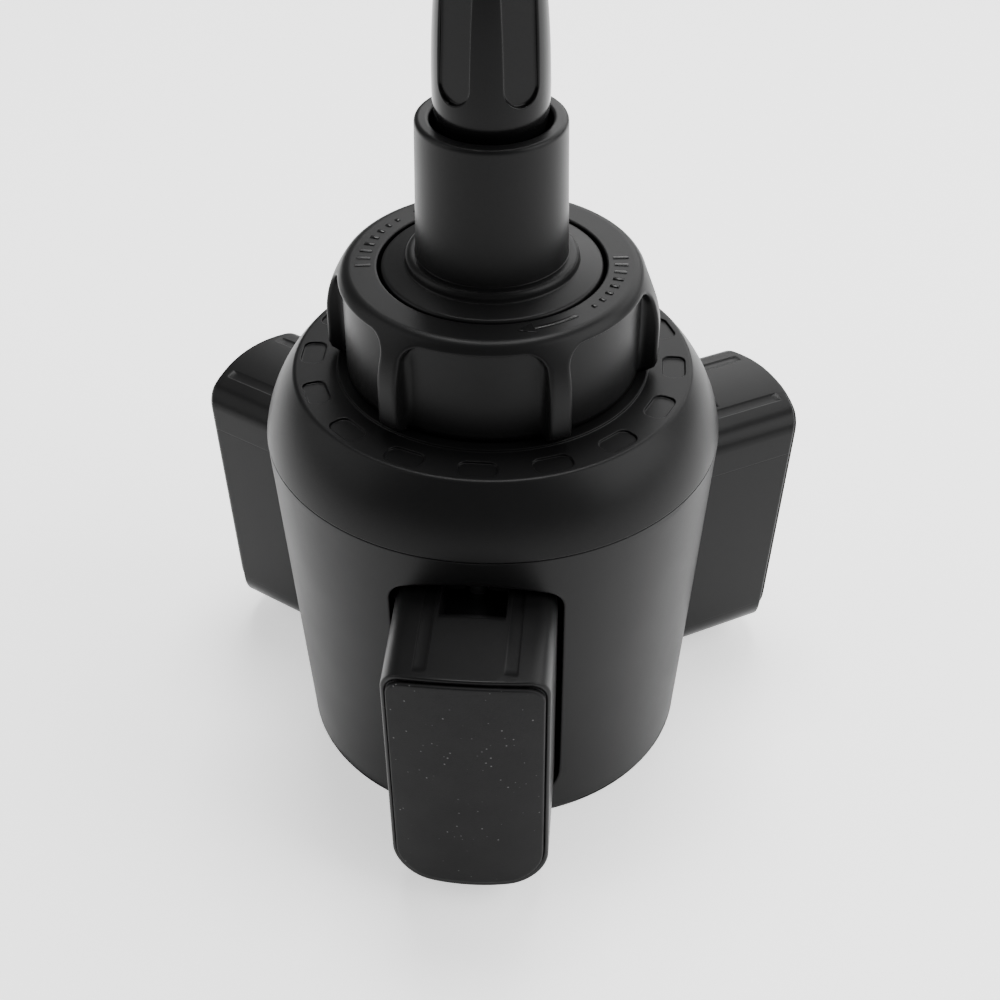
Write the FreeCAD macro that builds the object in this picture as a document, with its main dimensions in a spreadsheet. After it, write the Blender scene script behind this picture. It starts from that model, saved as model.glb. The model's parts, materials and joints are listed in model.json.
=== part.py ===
"""Expanding base of a mount that is pushed into the cup holder of a car.

A tapered cup holds three jaws. Turning the knob above it turns a scroll disc,
whose three spiral slots drive a pin on each jaw in or out along a radial slot.
A centre post carries the collar that stands still while the knob turns, and
the lower end of the arm is held in that collar.

The model stands on its underside, centred on the upright axis, with one jaw
towards -Y and all three jaws pushed fully out. Lengths are in millimetres.
"""
import FreeCAD, Part
import math
import os
import re

import Sketcher

JAWS = ("front", "right", "left")
JAW_COUNT = len(JAWS)
CAP_MARKS = 16
KNOB_RIBS = 6
NECK_FLUTES = 5

SIZES = {
    "seam_radius": (35.0, "widest radius of the cup, at the seam below the shoulder"),
    "foot_radius": (31.36, "radius of the cup where it stands"),
    "seam_rise": (8.19, "height of the seam above the top of a jaw at its sides"),
    "shell_wall": (2.0, "wall of the cup and of the shoulder cap"),
    "lap_height": (2.0, "overlap of the shoulder cap inside the cup"),
    "fit_gap": (0.1, "play between two pieces that are pushed together"),
    "run_gap": (0.3, "play between two pieces that move past each other"),
    "jaw_half_width": (11.87, "half the width of a jaw"),
    "jaw_low": (3.8, "height of the underside of a jaw"),
    "jaw_side_height": (48.85, "height of the top of a jaw at its sides"),
    "jaw_crown": (1.5, "rise of the top of a jaw in its middle"),
    "jaw_top_corner": (3.5, "corner radius at the top of a jaw"),
    "jaw_low_corner": (6.0, "corner radius at the bottom of a jaw"),
    "jaw_wall": (1.8, "wall of a jaw"),
    "jaw_inner_end": (8.0, "distance from the axis to the inner end of a closed jaw"),
    "jaw_travel": (17.23, "how far a jaw slides out"),
    "jaw_face_drop": (0.2, "how far the closed jaw face lies inside the cup surface"),
    "jaw_notch_half": (4.75, "half the width of the opening in the top of a jaw"),
    "jaw_notch_length": (6.8, "length of the opening in the top of a jaw"),
    "groove_offset": (6.3, "distance of the two top grooves from the middle of a jaw"),
    "groove_width": (1.6, "width of a top groove"),
    "groove_depth": (0.35, "depth of a top groove"),
    "groove_end": (2.5, "distance from the jaw face to the end of a top groove"),
    "pad_thick": (0.7, "thickness of a grip pad"),
    "pad_rim": (0.8, "rim of the jaw face left round a grip pad"),
    "jaw_edge": (0.45, "rounding of the edge of a jaw face"),
    "pad_edge": (0.3, "rounding of the edge of a grip pad"),
    "window_side_gap": (0.73, "play between a jaw and the side of its window"),
    "window_low_gap": (0.9, "play between a jaw and the bottom of its window"),
    "window_top_gap": (0.25, "play between the top of a jaw and its window at the sides"),
    "window_crown": (3.3, "rise of the top of a window in its middle"),
    "window_top_corner": (3.5, "corner radius at the top of a window"),
    "window_low_corner": (7.0, "corner radius at the bottom of a window"),
    "window_edge": (0.4, "rounding of the outer edge of a window"),
    "base_thick": (2.5, "thickness of the base plate"),
    "rail_half_width": (4.0, "half the width of a rail on the base plate"),
    "tower_circle": (25.5, "distance of the screw towers from the axis"),
    "tower_radius": (3.2, "radius of a screw tower"),
    "tower_web": (1.6, "thickness of the web between a tower and the wall"),
    "screw_radius": (1.3, "radius of a screw shank"),
    "screw_length": (9.0, "length of a screw shank"),
    "head_radius": (2.5, "radius of a screw head"),
    "head_height": (1.5, "height of a screw head"),
    "head_slope": (0.75, "width of the sloping shoulder of a screw head"),
    "head_sink": (0.3, "depth of a screw head below the surface"),
    "cross_width": (0.7, "width of the cross slot in a screw head"),
    "cross_depth": (0.9, "depth of the cross slot in a screw head"),
    "cross_reach": (1.5, "half the length of the cross slot at the top"),
    "cross_slope": (0.6, "width of the slope at the end of the cross slot"),
    "guide_rise": (0.2, "height of the guide plate above the top of the windows"),
    "guide_thick": (2.0, "thickness of the guide plate"),
    "pin_radius": (2.0, "radius of a follower pin"),
    "pin_hold": (10.0, "depth of a follower pin in its jaw"),
    "boss_length": (6.0, "length of the pin boss of a jaw"),
    "boss_half_width": (5.0, "half the width of the pin boss of a jaw"),
    "boss_floor": (2.0, "thickness of the pin boss below the pin"),
    "pin_play": (0.03, "play between a follower pin and its bore"),
    "pin_chamfer": (0.3, "chamfer at the ends of a follower pin"),
    "cam_space": (2.2, "space between the guide plate and the scroll disc"),
    "cam_thick": (3.0, "thickness of the scroll disc"),
    "cam_rim": (1.4, "rim of the scroll disc outside its slots"),
    "turn_range": (150.0, "turn of the knob in degrees from closed to open"),
    "knob_screw_circle": (17.0, "distance of the knob screws from the axis"),
    "knob_boss_radius": (2.8, "radius of a screw boss inside the knob"),
    "washer_thick": (0.6, "thickness of the thrust washer"),
    "washer_width": (3.0, "width of the thrust washer"),
    "ring_radius": (30.1, "outer radius of the flat ring on the shoulder cap"),
    "shoulder_bend": (20.0, "radius of the bend between the seam and the flat ring"),
    "ring_rise": (10.86, "height of the flat ring above the seam"),
    "ring_edge": (0.5, "rounding at the edge of the flat ring"),
    "land_radius": (23.5, "radius of the raised land under the knob"),
    "land_rise": (0.4, "rise of the land above the flat ring"),
    "mark_inner": (25.7, "inner edge of the sunk marks on the flat ring"),
    "mark_outer": (29.1, "outer edge of the sunk marks on the flat ring"),
    "mark_half_width": (2.85, "half the width of a sunk mark"),
    "mark_corner": (1.25, "corner radius of a sunk mark"),
    "mark_depth": (0.7, "depth of a sunk mark"),
    "drum_radius": (20.0, "radius of the drum of the knob inside the cap"),
    "drum_wall": (2.2, "wall of the drum of the knob"),
    "rib_radius": (24.9, "radius of the knob over its ribs"),
    "rib_under_radius": (23.3, "radius of the underside of the ribs"),
    "rib_under_rise": (1.9, "height of the rounded underside of the ribs"),
    "rib_straight": (4.9, "height of the upright part of the ribs"),
    "rib_crown_rise": (9.6, "height of the part of the ribs that curves in"),
    "rib_angle": (8.0, "angle taken by a rib in degrees"),
    "rib_turn": (27.4, "angle from the front jaw to the first rib in degrees"),
    "scoop_radius": (22.0, "radius of the finger recesses between the ribs"),
    "scoop_land": (1.7, "height left between a finger recess and the top face"),
    "scoop_corner": (3.0, "corner radius at the top of a finger recess"),
    "scoop_foot": (0.9, "hollow rounding at the foot of the walls of a finger recess"),
    "knob_top_radius": (21.6, "radius of the top face of the knob"),
    "knob_top_edge": (0.8, "rounding of the edge of the top face"),
    "cup_radius": (16.75, "radius of the hollow in the top of the knob"),
    "cup_depth": (10.4, "depth of the hollow in the top of the knob"),
    "web_thick": (2.2, "thickness of the web between the hub and drum of the knob"),
    "hub_wall": (2.4, "wall of the hub of the knob"),
    "collar_groove": (0.5, "width of the ring groove between the knob and the collar"),
    "disc_thick": (2.6, "thickness of the disc of the collar"),
    "disc_slope": (0.7, "rise of the disc of the collar towards its step"),
    "step_radius": (12.7, "radius of the step at the foot of the collar tube"),
    "step_height": (1.5, "height of the step at the foot of the collar tube"),
    "collar_low_radius": (11.1, "radius of the collar tube at its foot"),
    "collar_top_radius": (10.7, "radius of the collar tube at its rim"),
    "tube_rise": (23.0, "height of the rim of the collar tube above the knob"),
    "collar_edge": (0.6, "rounding of the rim of the collar tube"),
    "mouth_radius": (8.5, "radius of the mouth of the collar tube"),
    "mouth_chamfer": (0.6, "chamfer of the mouth of the collar tube"),
    "mouth_floor_thick": (5.0, "thickness of the floor of the mouth of the collar tube"),
    "hub_radius": (7.5, "radius of the lower hub of the collar"),
    "post_radius": (5.5, "radius of the centre post"),
    "post_foot_radius": (7.2, "radius of the foot of the centre post"),
    "post_foot_thick": (2.0, "thickness of the foot of the centre post"),
    "post_screw_offset": (3.8, "distance of the two screws of the centre post from the axis"),
    "spigot_radius": (4.2, "radius of the spigot on top of the centre post"),
    "spigot_length": (11.0, "length of the spigot on top of the centre post"),
    "neck_plug_length": (10.0, "length of the plug of the arm inside the collar"),
    "neck_plug_slope": (0.5, "height of the slope above the plug of the arm"),
    "neck_throat_radius": (7.5, "radius of the arm inside the mouth of the collar"),
    "neck_throat_drop": (2.0, "depth of the throat of the arm below the rim of the collar"),
    "neck_belly_radius": (8.15, "largest radius of the arm above the collar"),
    "neck_belly_rise": (6.5, "height of the largest radius of the arm above its throat"),
    "neck_upper_radius": (7.1, "radius of the arm where the photograph ends"),
    "neck_stem_rise": (17.5, "height from the largest radius to where the photograph ends"),
    "arm_pin_radius": (6.0, "radius of the plain spigot that ends the arm"),
    "arm_pin_rise": (8.0, "height from where the photograph ends to the plain spigot"),
    "arm_shoulder": (0.4, "width of the shoulder under the plain spigot"),
    "arm_pin_length": (12.0, "length of the plain spigot"),
    "flute_rise": (2.2, "height of the lower end of the flutes above the largest radius"),
    "flute_end": (0.6, "height left between the top of the flutes and the plain spigot"),
    "flute_half_width": (2.7, "half the width of a flute of the arm"),
    "flute_depth": (0.75, "depth of a flute at the belly of the arm"),
    "flute_turn": (36.0, "angle from the front to the first flute in degrees"),
    "cutter_run": (10.0, "how far a cutting form runs past the piece it cuts"),
    "cutter_skin": (1.0, "how far a cutting form stands out of the face it cuts"),
    "arc_play": (0.0001, "extra radius that lets a half round end close in a sketch"),
}


class Size:
    """A length or angle of the object with the sheet formula that gives it."""

    def __init__(self, value, formula):
        self.value = float(value)
        self.formula = formula

    def __add__(self, other):
        return joined(self, "+", other, number(self) + number(other))

    def __radd__(self, other):
        return joined(other, "+", self, number(other) + number(self))

    def __sub__(self, other):
        return joined(self, "-", other, number(self) - number(other))

    def __rsub__(self, other):
        return joined(other, "-", self, number(other) - number(self))

    def __mul__(self, other):
        return joined(self, "*", other, number(self) * number(other))

    def __rmul__(self, other):
        return joined(other, "*", self, number(other) * number(self))

    def __truediv__(self, other):
        return joined(self, "/", other, number(self) / number(other))

    def __neg__(self):
        return 0 - self


def number(item):
    """Return the plain number of a size or of a number."""
    return item.value if isinstance(item, Size) else float(item)


def wording(item):
    """Return the sheet formula of a size or of a number."""
    return item.formula if isinstance(item, Size) else repr(float(item))


def joined(left, sign, right, value):
    """Return the size that a sum, difference, product or quotient gives."""
    return Size(value, "(" + wording(left) + " " + sign + " " + wording(right) + ")")


def root(item):
    """Return the square root of a size."""
    return Size(math.sqrt(number(item)), "sqrt(" + wording(item) + ")")


def along(turn, radius):
    """Return x and y of a point on a circle; turn is in degrees from +X."""
    x_share = math.cos(math.radians(number(turn)))
    y_share = math.sin(math.radians(number(turn)))
    x_size = joined(radius, "*", Size(x_share, "cos(" + wording(turn) + ")"), number(radius) * x_share)
    y_size = joined(radius, "*", Size(y_share, "sin(" + wording(turn) + ")"), number(radius) * y_share)
    return x_size, y_size


doc = FreeCAD.newDocument("expanding_base")
sheet = doc.addObject("Spreadsheet::Sheet", "sizes")


class Sheet:
    """The driving sizes, each readable by its own name."""


size = Sheet()
for line, (alias, (value, meaning)) in enumerate(SIZES.items(), start=1):
    sheet.set("A" + str(line), alias)
    sheet.set("B" + str(line), str(value))
    sheet.set("C" + str(line), meaning)
    sheet.setAlias("B" + str(line), alias)
    setattr(size, alias, Size(value, "sizes." + alias))
doc.recompute()


def bind(item, property_name, value):
    """Set a property and tie it to the sheet."""
    if isinstance(value, Size):
        item.setExpression(property_name, value.formula)
    else:
        setattr(item, property_name, value)


def origin_item(body, role):
    """Return the plane or axis of a body's own origin that has this role."""
    for item in body.Origin.OriginFeatures:
        if item.Role == role:
            return item
    raise ValueError("no origin item " + role)


def new_body(name):
    """Return an empty solid body."""
    body = doc.addObject("PartDesign::Body", name)
    body.Label = name
    return body


def new_sketch(body, name, role, height=0.0):
    """Return a sketch on one plane of the body's origin, moved along its normal."""
    sketch = body.newObject("Sketcher::SketchObject", name)
    sketch.AttachmentSupport = [(origin_item(body, role), "")]
    sketch.MapMode = "FlatFace"
    if isinstance(height, Size):
        sketch.setExpression("AttachmentOffset.Base.z", height.formula)
    return sketch


def place(sketch, index, position, corner):
    """Hold one end of a sketch line at a point given by two sizes."""
    for kind, value in (("DistanceX", corner[0]), ("DistanceY", corner[1])):
        row = sketch.addConstraint(Sketcher.Constraint(kind, index, position, number(value)))
        if isinstance(value, Size):
            sketch.setExpression("Constraints[" + str(row) + "]", value.formula)


def arc_between(first, second, radius):
    """Return an arc from first to second; its centre lies left of the way if radius > 0."""
    x1, y1 = number(first[0]), number(first[1])
    x2, y2 = number(second[0]), number(second[1])
    reach = abs(number(radius))
    chord = math.hypot(x2 - x1, y2 - y1)
    rise = math.sqrt(max(reach ** 2 - (chord / 2) ** 2, 0.0))
    side = 1.0 if number(radius) > 0 else -1.0
    centre_x = (x1 + x2) / 2 - side * rise * (y2 - y1) / chord
    centre_y = (y1 + y2) / 2 + side * rise * (x2 - x1) / chord
    start = math.atan2(y1 - centre_y, x1 - centre_x)
    end = math.atan2(y2 - centre_y, x2 - centre_x)
    if side < 0:
        start, end = end, start
    circle = Part.Circle(FreeCAD.Vector(centre_x, centre_y, 0), FreeCAD.Vector(0, 0, 1), reach)
    return Part.ArcOfCircle(circle, start, end)


def outline(body, name, role, corners, arcs=None, height=0.0):
    """Return a closed sketch through corners; arcs maps an edge's number to its radius.

    A positive radius has its centre on the left of the way from corner to corner.
    """
    arcs = arcs or {}
    sketch = new_sketch(body, name, role, height)
    count = len(corners)
    for index in range(count):
        first = corners[index]
        second = corners[(index + 1) % count]
        if index in arcs:
            edge = arc_between(first, second, arcs[index])
        else:
            edge = Part.LineSegment(
                FreeCAD.Vector(number(first[0]), number(first[1]), 0),
                FreeCAD.Vector(number(second[0]), number(second[1]), 0))
        sketch.addGeometry(edge, False)
    for index in range(count):
        following = (index + 1) % count
        turned = index in arcs and number(arcs[index]) < 0
        turned_next = following in arcs and number(arcs[following]) < 0
        sketch.addConstraint(Sketcher.Constraint(
            "Coincident", index, 1 if turned else 2, following, 2 if turned_next else 1))
    for index in range(count):
        turned = index in arcs and number(arcs[index]) < 0
        place(sketch, index, 2 if turned else 1, corners[index])
        if index in arcs:
            radius = arcs[index] if number(arcs[index]) > 0 else 0 - arcs[index]
            row = sketch.addConstraint(Sketcher.Constraint("Radius", index, number(radius)))
            sketch.setExpression("Constraints[" + str(row) + "]", wording(radius))
    return sketch


def circles(body, name, role, rounds, height=0.0):
    """Return a sketch of circles; each of rounds is x, y and radius."""
    sketch = new_sketch(body, name, role, height)
    for index, (x_place, y_place, radius) in enumerate(rounds):
        centre = FreeCAD.Vector(number(x_place), number(y_place), 0)
        sketch.addGeometry(Part.Circle(centre, FreeCAD.Vector(0, 0, 1), number(radius)), False)
        place(sketch, index, 3, (x_place, y_place))
        row = sketch.addConstraint(Sketcher.Constraint("Radius", index, number(radius)))
        sketch.setExpression("Constraints[" + str(row) + "]", wording(radius))
    return sketch


def revolve(body, name, sketch):
    """Turn a profile once round the upright axis."""
    feature = body.newObject("PartDesign::Revolution", name)
    feature.Profile = sketch
    feature.ReferenceAxis = (sketch, ["V_Axis"])
    feature.Angle = 360
    return feature


def pad(body, name, sketch, length, midplane=False, reverse=False):
    """Raise a sketch into a solid along its normal."""
    feature = body.newObject("PartDesign::Pad", name)
    feature.Profile = sketch
    feature.SideType = "Symmetric" if midplane else "One side"
    feature.Reversed = reverse
    bind(feature, "Length", length)
    return feature


def pocket(body, name, sketch, length, reverse=False, midplane=False):
    """Cut a sketch into the solid, and make sure that it removed something."""
    doc.recompute()
    before = body.Shape.Volume
    feature = body.newObject("PartDesign::Pocket", name)
    feature.Profile = sketch
    feature.SideType = "Symmetric" if midplane else "One side"
    feature.Reversed = reverse
    bind(feature, "Length", length)
    doc.recompute()
    if body.Shape.Volume > before - 0.01:
        raise ValueError(name + " cuts nothing")
    return feature


def polar(body, name, features, count):
    """Repeat features evenly round the upright axis."""
    pattern = body.newObject("PartDesign::PolarPattern", name)
    pattern.Originals = features
    pattern.Axis = (origin_item(body, "Z_Axis"), [""])
    pattern.Angle = 360
    pattern.Occurrences = count
    body.Tip = pattern
    return pattern


def fillet(body, name, base, radius, wanted):
    """Round the edges of a feature that a test picks out."""
    doc.recompute()
    edges = [
        "Edge" + str(index) for index, edge in enumerate(base.Shape.Edges, start=1) if wanted(edge)]
    if not edges:
        raise ValueError(name + " finds no edge")
    feature = body.newObject("PartDesign::Fillet", name)
    feature.Base = (base, edges)
    bind(feature, "Radius", radius)
    return feature


def boolean(kind, name, base, tool):
    """Join, cut or intersect two solids."""
    feature = doc.addObject("Part::" + kind, name)
    feature.Label = name
    feature.Base = base
    feature.Tool = tool
    return feature


def block(name, low, high):
    """Return a box between two corners."""
    box = doc.addObject("Part::Box", name)
    for side, axis, first, second in zip(("Length", "Width", "Height"), "xyz", low, high):
        bind(box, side, second - first)
        box.setExpression("Placement.Base." + axis, wording(first))
    return box


def rod(name, radius, bottom, top, x_place=0.0, y_place=0.0):
    """Return an upright cylinder."""
    cylinder = doc.addObject("Part::Cylinder", name)
    bind(cylinder, "Radius", radius)
    bind(cylinder, "Height", top - bottom)
    for axis, value in zip("xyz", (x_place, y_place, bottom)):
        cylinder.setExpression("Placement.Base." + axis, wording(value))
    return cylinder


def turn_about_axis(item, degrees):
    """Turn a finished piece about the upright axis of the object."""
    item.Placement = FreeCAD.Placement(
        FreeCAD.Vector(0, 0, 0), FreeCAD.Rotation(FreeCAD.Vector(0, 0, 1), degrees))


def crowned(half_width, low, side_height, crown, top_corner, low_corner):
    """Return corners and arcs of a jaw shaped outline with a crowned top."""
    crown_radius = (half_width * half_width + crown * crown) / (2 * crown)
    crown_centre = side_height + crown - crown_radius
    corner_x = half_width - top_corner
    inner = crown_radius - top_corner
    corner_z = crown_centre + root(inner * inner - corner_x * corner_x)
    crown_x = crown_radius * corner_x / inner
    crown_z = crown_centre + crown_radius * (corner_z - crown_centre) / inner
    corners = [
        (0 - half_width + low_corner, low),
        (half_width - low_corner, low),
        (half_width, low + low_corner),
        (half_width, corner_z),
        (crown_x, crown_z),
        (0 - crown_x, crown_z),
        (0 - half_width, corner_z),
        (0 - half_width, low + low_corner),
    ]
    arcs = {1: low_corner, 3: top_corner, 4: crown_radius, 5: top_corner, 7: low_corner}
    return corners, arcs


jaw_turns = {name: 360 / JAW_COUNT * index for index, name in enumerate(JAWS)}
seam_height = size.jaw_side_height + size.seam_rise
window_side_height = size.jaw_side_height + size.window_top_gap
window_low = size.jaw_low - size.window_low_gap
ring_height = seam_height + size.ring_rise
taper = (size.seam_radius - size.foot_radius) / seam_height
inner_foot = size.foot_radius - size.shell_wall
window_top = window_side_height + size.window_crown
guide_low = window_top + size.guide_rise
guide_top = guide_low + size.guide_thick
cam_low = guide_top + size.cam_space
cam_top = cam_low + size.cam_thick
washer_top = cam_top + size.washer_thick
land_height = ring_height + size.land_rise
knob_low = land_height + size.run_gap
rib_low_height = knob_low + size.rib_under_rise
rib_belly_height = rib_low_height + size.rib_straight
knob_top = rib_belly_height + size.rib_crown_rise
scoop_top = knob_top - size.scoop_land
cup_floor = knob_top - size.cup_depth
collar_low = cup_floor + size.run_gap
spigot_top = collar_low + size.spigot_length
socket_top = spigot_top + size.fit_gap
mouth_floor = socket_top + size.mouth_floor_thick
collar_top = knob_top + size.tube_rise
neck_throat_height = collar_top - size.neck_throat_drop
neck_belly_height = neck_throat_height + size.neck_belly_rise
neck_upper_height = neck_belly_height + size.neck_stem_rise
arm_pin_height = neck_upper_height + size.arm_pin_rise
pin_closed = size.jaw_inner_end + size.boss_length / 2
pin_open = pin_closed + size.jaw_travel
slot_half_width = size.pin_radius + size.run_gap
drum_hole = size.drum_radius + size.run_gap
shank_hole = size.screw_radius + size.fit_gap
tower_turns = [90 + turn for turn in jaw_turns.values()]
far_out = size.seam_radius + size.jaw_travel + size.cutter_run


def cup_radius_at(height):
    """Return the outer radius of the cup at a height."""
    return size.foot_radius + taper * height


def body_shell():
    """The tapered cup with its three windows and the towers for the screws."""
    body = new_body("body_shell")
    lap_radius = size.seam_radius - size.shell_wall / 2
    lap_floor = seam_height - size.lap_height
    wall = outline(body, "cup_wall", "XZ_Plane", [
        (inner_foot, 0.0),
        (size.foot_radius, 0.0),
        (size.seam_radius, seam_height),
        (lap_radius, seam_height),
        (lap_radius, lap_floor),
        (cup_radius_at(lap_floor) - size.shell_wall, lap_floor),
    ])
    revolve(body, "cup", wall)
    tower = circles(body, "tower_round", "XY_Plane",
                    [(0.0, size.tower_circle, size.tower_radius)], size.base_thick)
    tower_pad = pad(body, "tower", tower, guide_low - size.base_thick)
    web = outline(body, "web_side", "YZ_Plane", [
        (size.tower_circle, size.base_thick),
        (cup_radius_at(size.base_thick) - size.shell_wall / 2, size.base_thick),
        (cup_radius_at(guide_low) - size.shell_wall / 2, guide_low),
        (size.tower_circle, guide_low),
    ])
    web_pad = pad(body, "web", web, size.tower_web, midplane=True)
    polar(body, "towers", [tower_pad, web_pad], JAW_COUNT)
    corners, arcs = crowned(
        size.jaw_half_width + size.window_side_gap,
        window_low,
        window_side_height,
        size.window_crown,
        size.window_top_corner,
        size.window_low_corner)
    window = outline(body, "window_edge", "XZ_Plane", corners, arcs)
    cut = pocket(body, "window", window, far_out, reverse=True)
    windows = polar(body, "windows", [cut], JAW_COUNT)
    fillet(body, "window_rounding", windows, size.window_edge, is_window_rim)
    bore_low = circles(body, "low_bore_round", "XY_Plane",
                       [(0.0, size.tower_circle, shank_hole)], size.base_thick)
    low_bore = pocket(body, "low_bore", bore_low, size.screw_length, reverse=True)
    polar(body, "low_bores", [low_bore], JAW_COUNT)
    bore_top = circles(body, "top_bore_round", "XY_Plane",
                       [(0.0, size.tower_circle, shank_hole)], guide_low)
    top_bore = pocket(body, "top_bore", bore_top, size.screw_length)
    polar(body, "top_bores", [top_bore], JAW_COUNT)
    return body


def is_window_rim(edge):
    """Tell whether an edge is part of the outer rim of a window of the cup."""
    box = edge.BoundBox
    if box.ZMin < number(window_low) - 0.01 or box.ZMax > number(window_top) + 0.01:
        return False
    return lies_on_cone(edge, 0.0, 0.0)


def lies_on_cone(edge, travel, drop):
    """Tell whether an edge lies on the cup's taper, moved out by travel and in by drop."""
    points = edge.discretize(5)
    return all(
        abs(math.hypot(point.x, point.y + number(travel))
            - number(cup_radius_at(point.z) - drop)) < 0.01
        for point in points)


def base_plate():
    """The plate that closes the cup from below, with a rail under each jaw."""
    body = new_body("base_plate")
    rail_top = size.jaw_low - size.run_gap
    plate = circles(body, "plate_round", "XY_Plane", [(0.0, 0.0, inner_foot - size.fit_gap)])
    pad(body, "plate", plate, size.base_thick)
    rail_start = size.post_foot_radius + size.run_gap
    rail_end = inner_foot - size.tower_radius
    rail = outline(body, "rail_edge", "XY_Plane", [
        (0 - size.rail_half_width, 0 - rail_end),
        (size.rail_half_width, 0 - rail_end),
        (size.rail_half_width, 0 - rail_start),
        (0 - size.rail_half_width, 0 - rail_start),
    ], height=size.base_thick)
    rail_pad = pad(body, "rail", rail, rail_top - size.base_thick)
    polar(body, "rails", [rail_pad], JAW_COUNT)
    hole = circles(body, "hole_round", "XY_Plane", [(0.0, size.tower_circle, shank_hole)])
    through = pocket(body, "hole", hole, size.base_thick, reverse=True)
    sink = circles(body, "sink_round", "XY_Plane",
                   [(0.0, size.tower_circle, size.head_radius + size.run_gap)])
    sunk = pocket(body, "sink", sink, size.head_height + size.head_sink, reverse=True)
    polar(body, "holes", [through, sunk], JAW_COUNT)
    post_holes = circles(body, "post_hole_round", "XY_Plane", post_screw_rounds(shank_hole))
    pocket(body, "post_holes", post_holes, size.base_thick, reverse=True)
    post_sinks = circles(body, "post_sink_round", "XY_Plane",
                         post_screw_rounds(size.head_radius + size.run_gap))
    pocket(body, "post_sinks", post_sinks, size.head_height + size.head_sink, reverse=True)
    return body


def post_screw_rounds(radius):
    """Return a circle of this radius round each of the two screws of the centre post."""
    return [(side * size.post_screw_offset, 0.0, radius) for side in (-1, 1)]


def screw(name, x_place, y_place, seat, up):
    """A pan head screw whose head lies on seat; up is True when its head points up."""
    body = new_body(name)
    profile = outline(body, "screw_side", "XZ_Plane", [
        (0.0, 0 - size.screw_length),
        (size.screw_radius / 2, 0 - size.screw_length),
        (size.screw_radius, size.screw_radius - size.screw_length),
        (size.screw_radius, 0.0),
        (size.head_radius, 0.0),
        (size.head_radius, size.head_height / 2),
        (size.head_radius - size.head_slope, size.head_height),
        (0.0, size.head_height),
    ])
    revolve(body, "screw_turned", profile)
    reach = size.cross_reach
    foot = reach - size.cross_slope
    for role, mark in (("XZ_Plane", "slot_across"), ("YZ_Plane", "slot_along")):
        slot = outline(body, mark + "_side", role, [
            (0 - foot, size.head_height - size.cross_depth),
            (foot, size.head_height - size.cross_depth),
            (reach, size.head_height + size.fit_gap),
            (0 - reach, size.head_height + size.fit_gap),
        ])
        pocket(body, mark, slot, size.cross_width, midplane=True)
    if not up:
        body.Placement = FreeCAD.Placement(
            FreeCAD.Vector(0, 0, 0), FreeCAD.Rotation(FreeCAD.Vector(1, 0, 0), 180))
    for axis, value in zip("xyz", (x_place, y_place, seat)):
        body.setExpression("Placement.Base." + axis, wording(value))
    return body


def screw_group(name, turns, circle, seat, up):
    """Like screws on a circle, kept together as one group."""
    group = doc.addObject("Part::Compound", name)
    group.Label = name
    links = []
    for index, turn in enumerate(turns):
        x_place, y_place = along(turn, circle)
        links.append(screw(name + "_" + str(index), x_place, y_place, seat, up))
    group.Links = links
    return group


def guide_plate():
    """The plate over the jaws with a straight slot for each follower pin."""
    body = new_body("guide_plate")
    radius = cup_radius_at(guide_low) - size.shell_wall - size.fit_gap
    plate = circles(body, "guide_round", "XY_Plane", [(0.0, 0.0, radius)], guide_low)
    pad(body, "guide", plate, size.guide_thick)
    centre = circles(body, "guide_centre", "XY_Plane",
                     [(0.0, 0.0, size.post_radius + size.fit_gap)], guide_low)
    pocket(body, "post_hole", centre, size.guide_thick, reverse=True)
    slot_end = slot_half_width + size.arc_play
    slot = outline(body, "slot_edge", "XY_Plane", [
        (0 - slot_half_width, 0 - pin_open),
        (slot_half_width, 0 - pin_open),
        (slot_half_width, 0 - pin_closed),
        (0 - slot_half_width, 0 - pin_closed),
    ], arcs={0: slot_end, 2: slot_end}, height=guide_low)
    cut = pocket(body, "slot", slot, size.guide_thick, reverse=True)
    polar(body, "slots", [cut], JAW_COUNT)
    hole = circles(body, "guide_hole_round", "XY_Plane",
                   [(0.0, size.tower_circle, shank_hole)], guide_low)
    through = pocket(body, "guide_hole", hole, size.guide_thick, reverse=True)
    polar(body, "guide_holes", [through], JAW_COUNT)
    return body


def spiral_slot(name, start_turn):
    """A cutter for one spiral slot, from the open end of the jaw's way to the closed end."""
    steps = 24
    half = number(slot_half_width)
    rate = number(size.jaw_travel) / math.radians(number(size.turn_range))
    sides = {1: [], -1: []}
    for index in range(steps + 1):
        swept = math.radians(number(size.turn_range)) * index / steps
        angle = math.radians(start_turn) - swept
        radius = number(pin_open) - rate * swept
        outward = FreeCAD.Vector(math.cos(angle), math.sin(angle), 0)
        onward = FreeCAD.Vector(math.sin(angle), -math.cos(angle), 0)
        heading = (onward * radius - outward * rate).normalize()
        across = FreeCAD.Vector(-heading.y, heading.x, 0)
        middle = outward * radius
        for side in sides:
            sides[side].append(middle + across * (half * side))
        if index == 0:
            near_end = middle - heading * half
        far_end = middle + heading * half
    curves = []
    for side in sides:
        curve = Part.BSplineCurve()
        curve.interpolate(sides[side])
        curves.append(curve.toShape())
    ends = [
        Part.Arc(sides[1][0], near_end, sides[-1][0]).toShape(),
        Part.Arc(sides[1][-1], far_end, sides[-1][-1]).toShape(),
    ]
    wire = Part.Wire(Part.__sortEdges__(curves + ends))
    cutter = doc.addObject("Part::Feature", name)
    tall = size.cam_thick + 2 * size.cutter_skin
    solid = Part.Face(wire).extrude(FreeCAD.Vector(0, 0, number(tall)))
    cutter.Shape = solid
    cutter.Placement = FreeCAD.Placement(
        FreeCAD.Vector(0, 0, number(cam_low - size.cutter_skin)), FreeCAD.Rotation())
    return cutter


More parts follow.
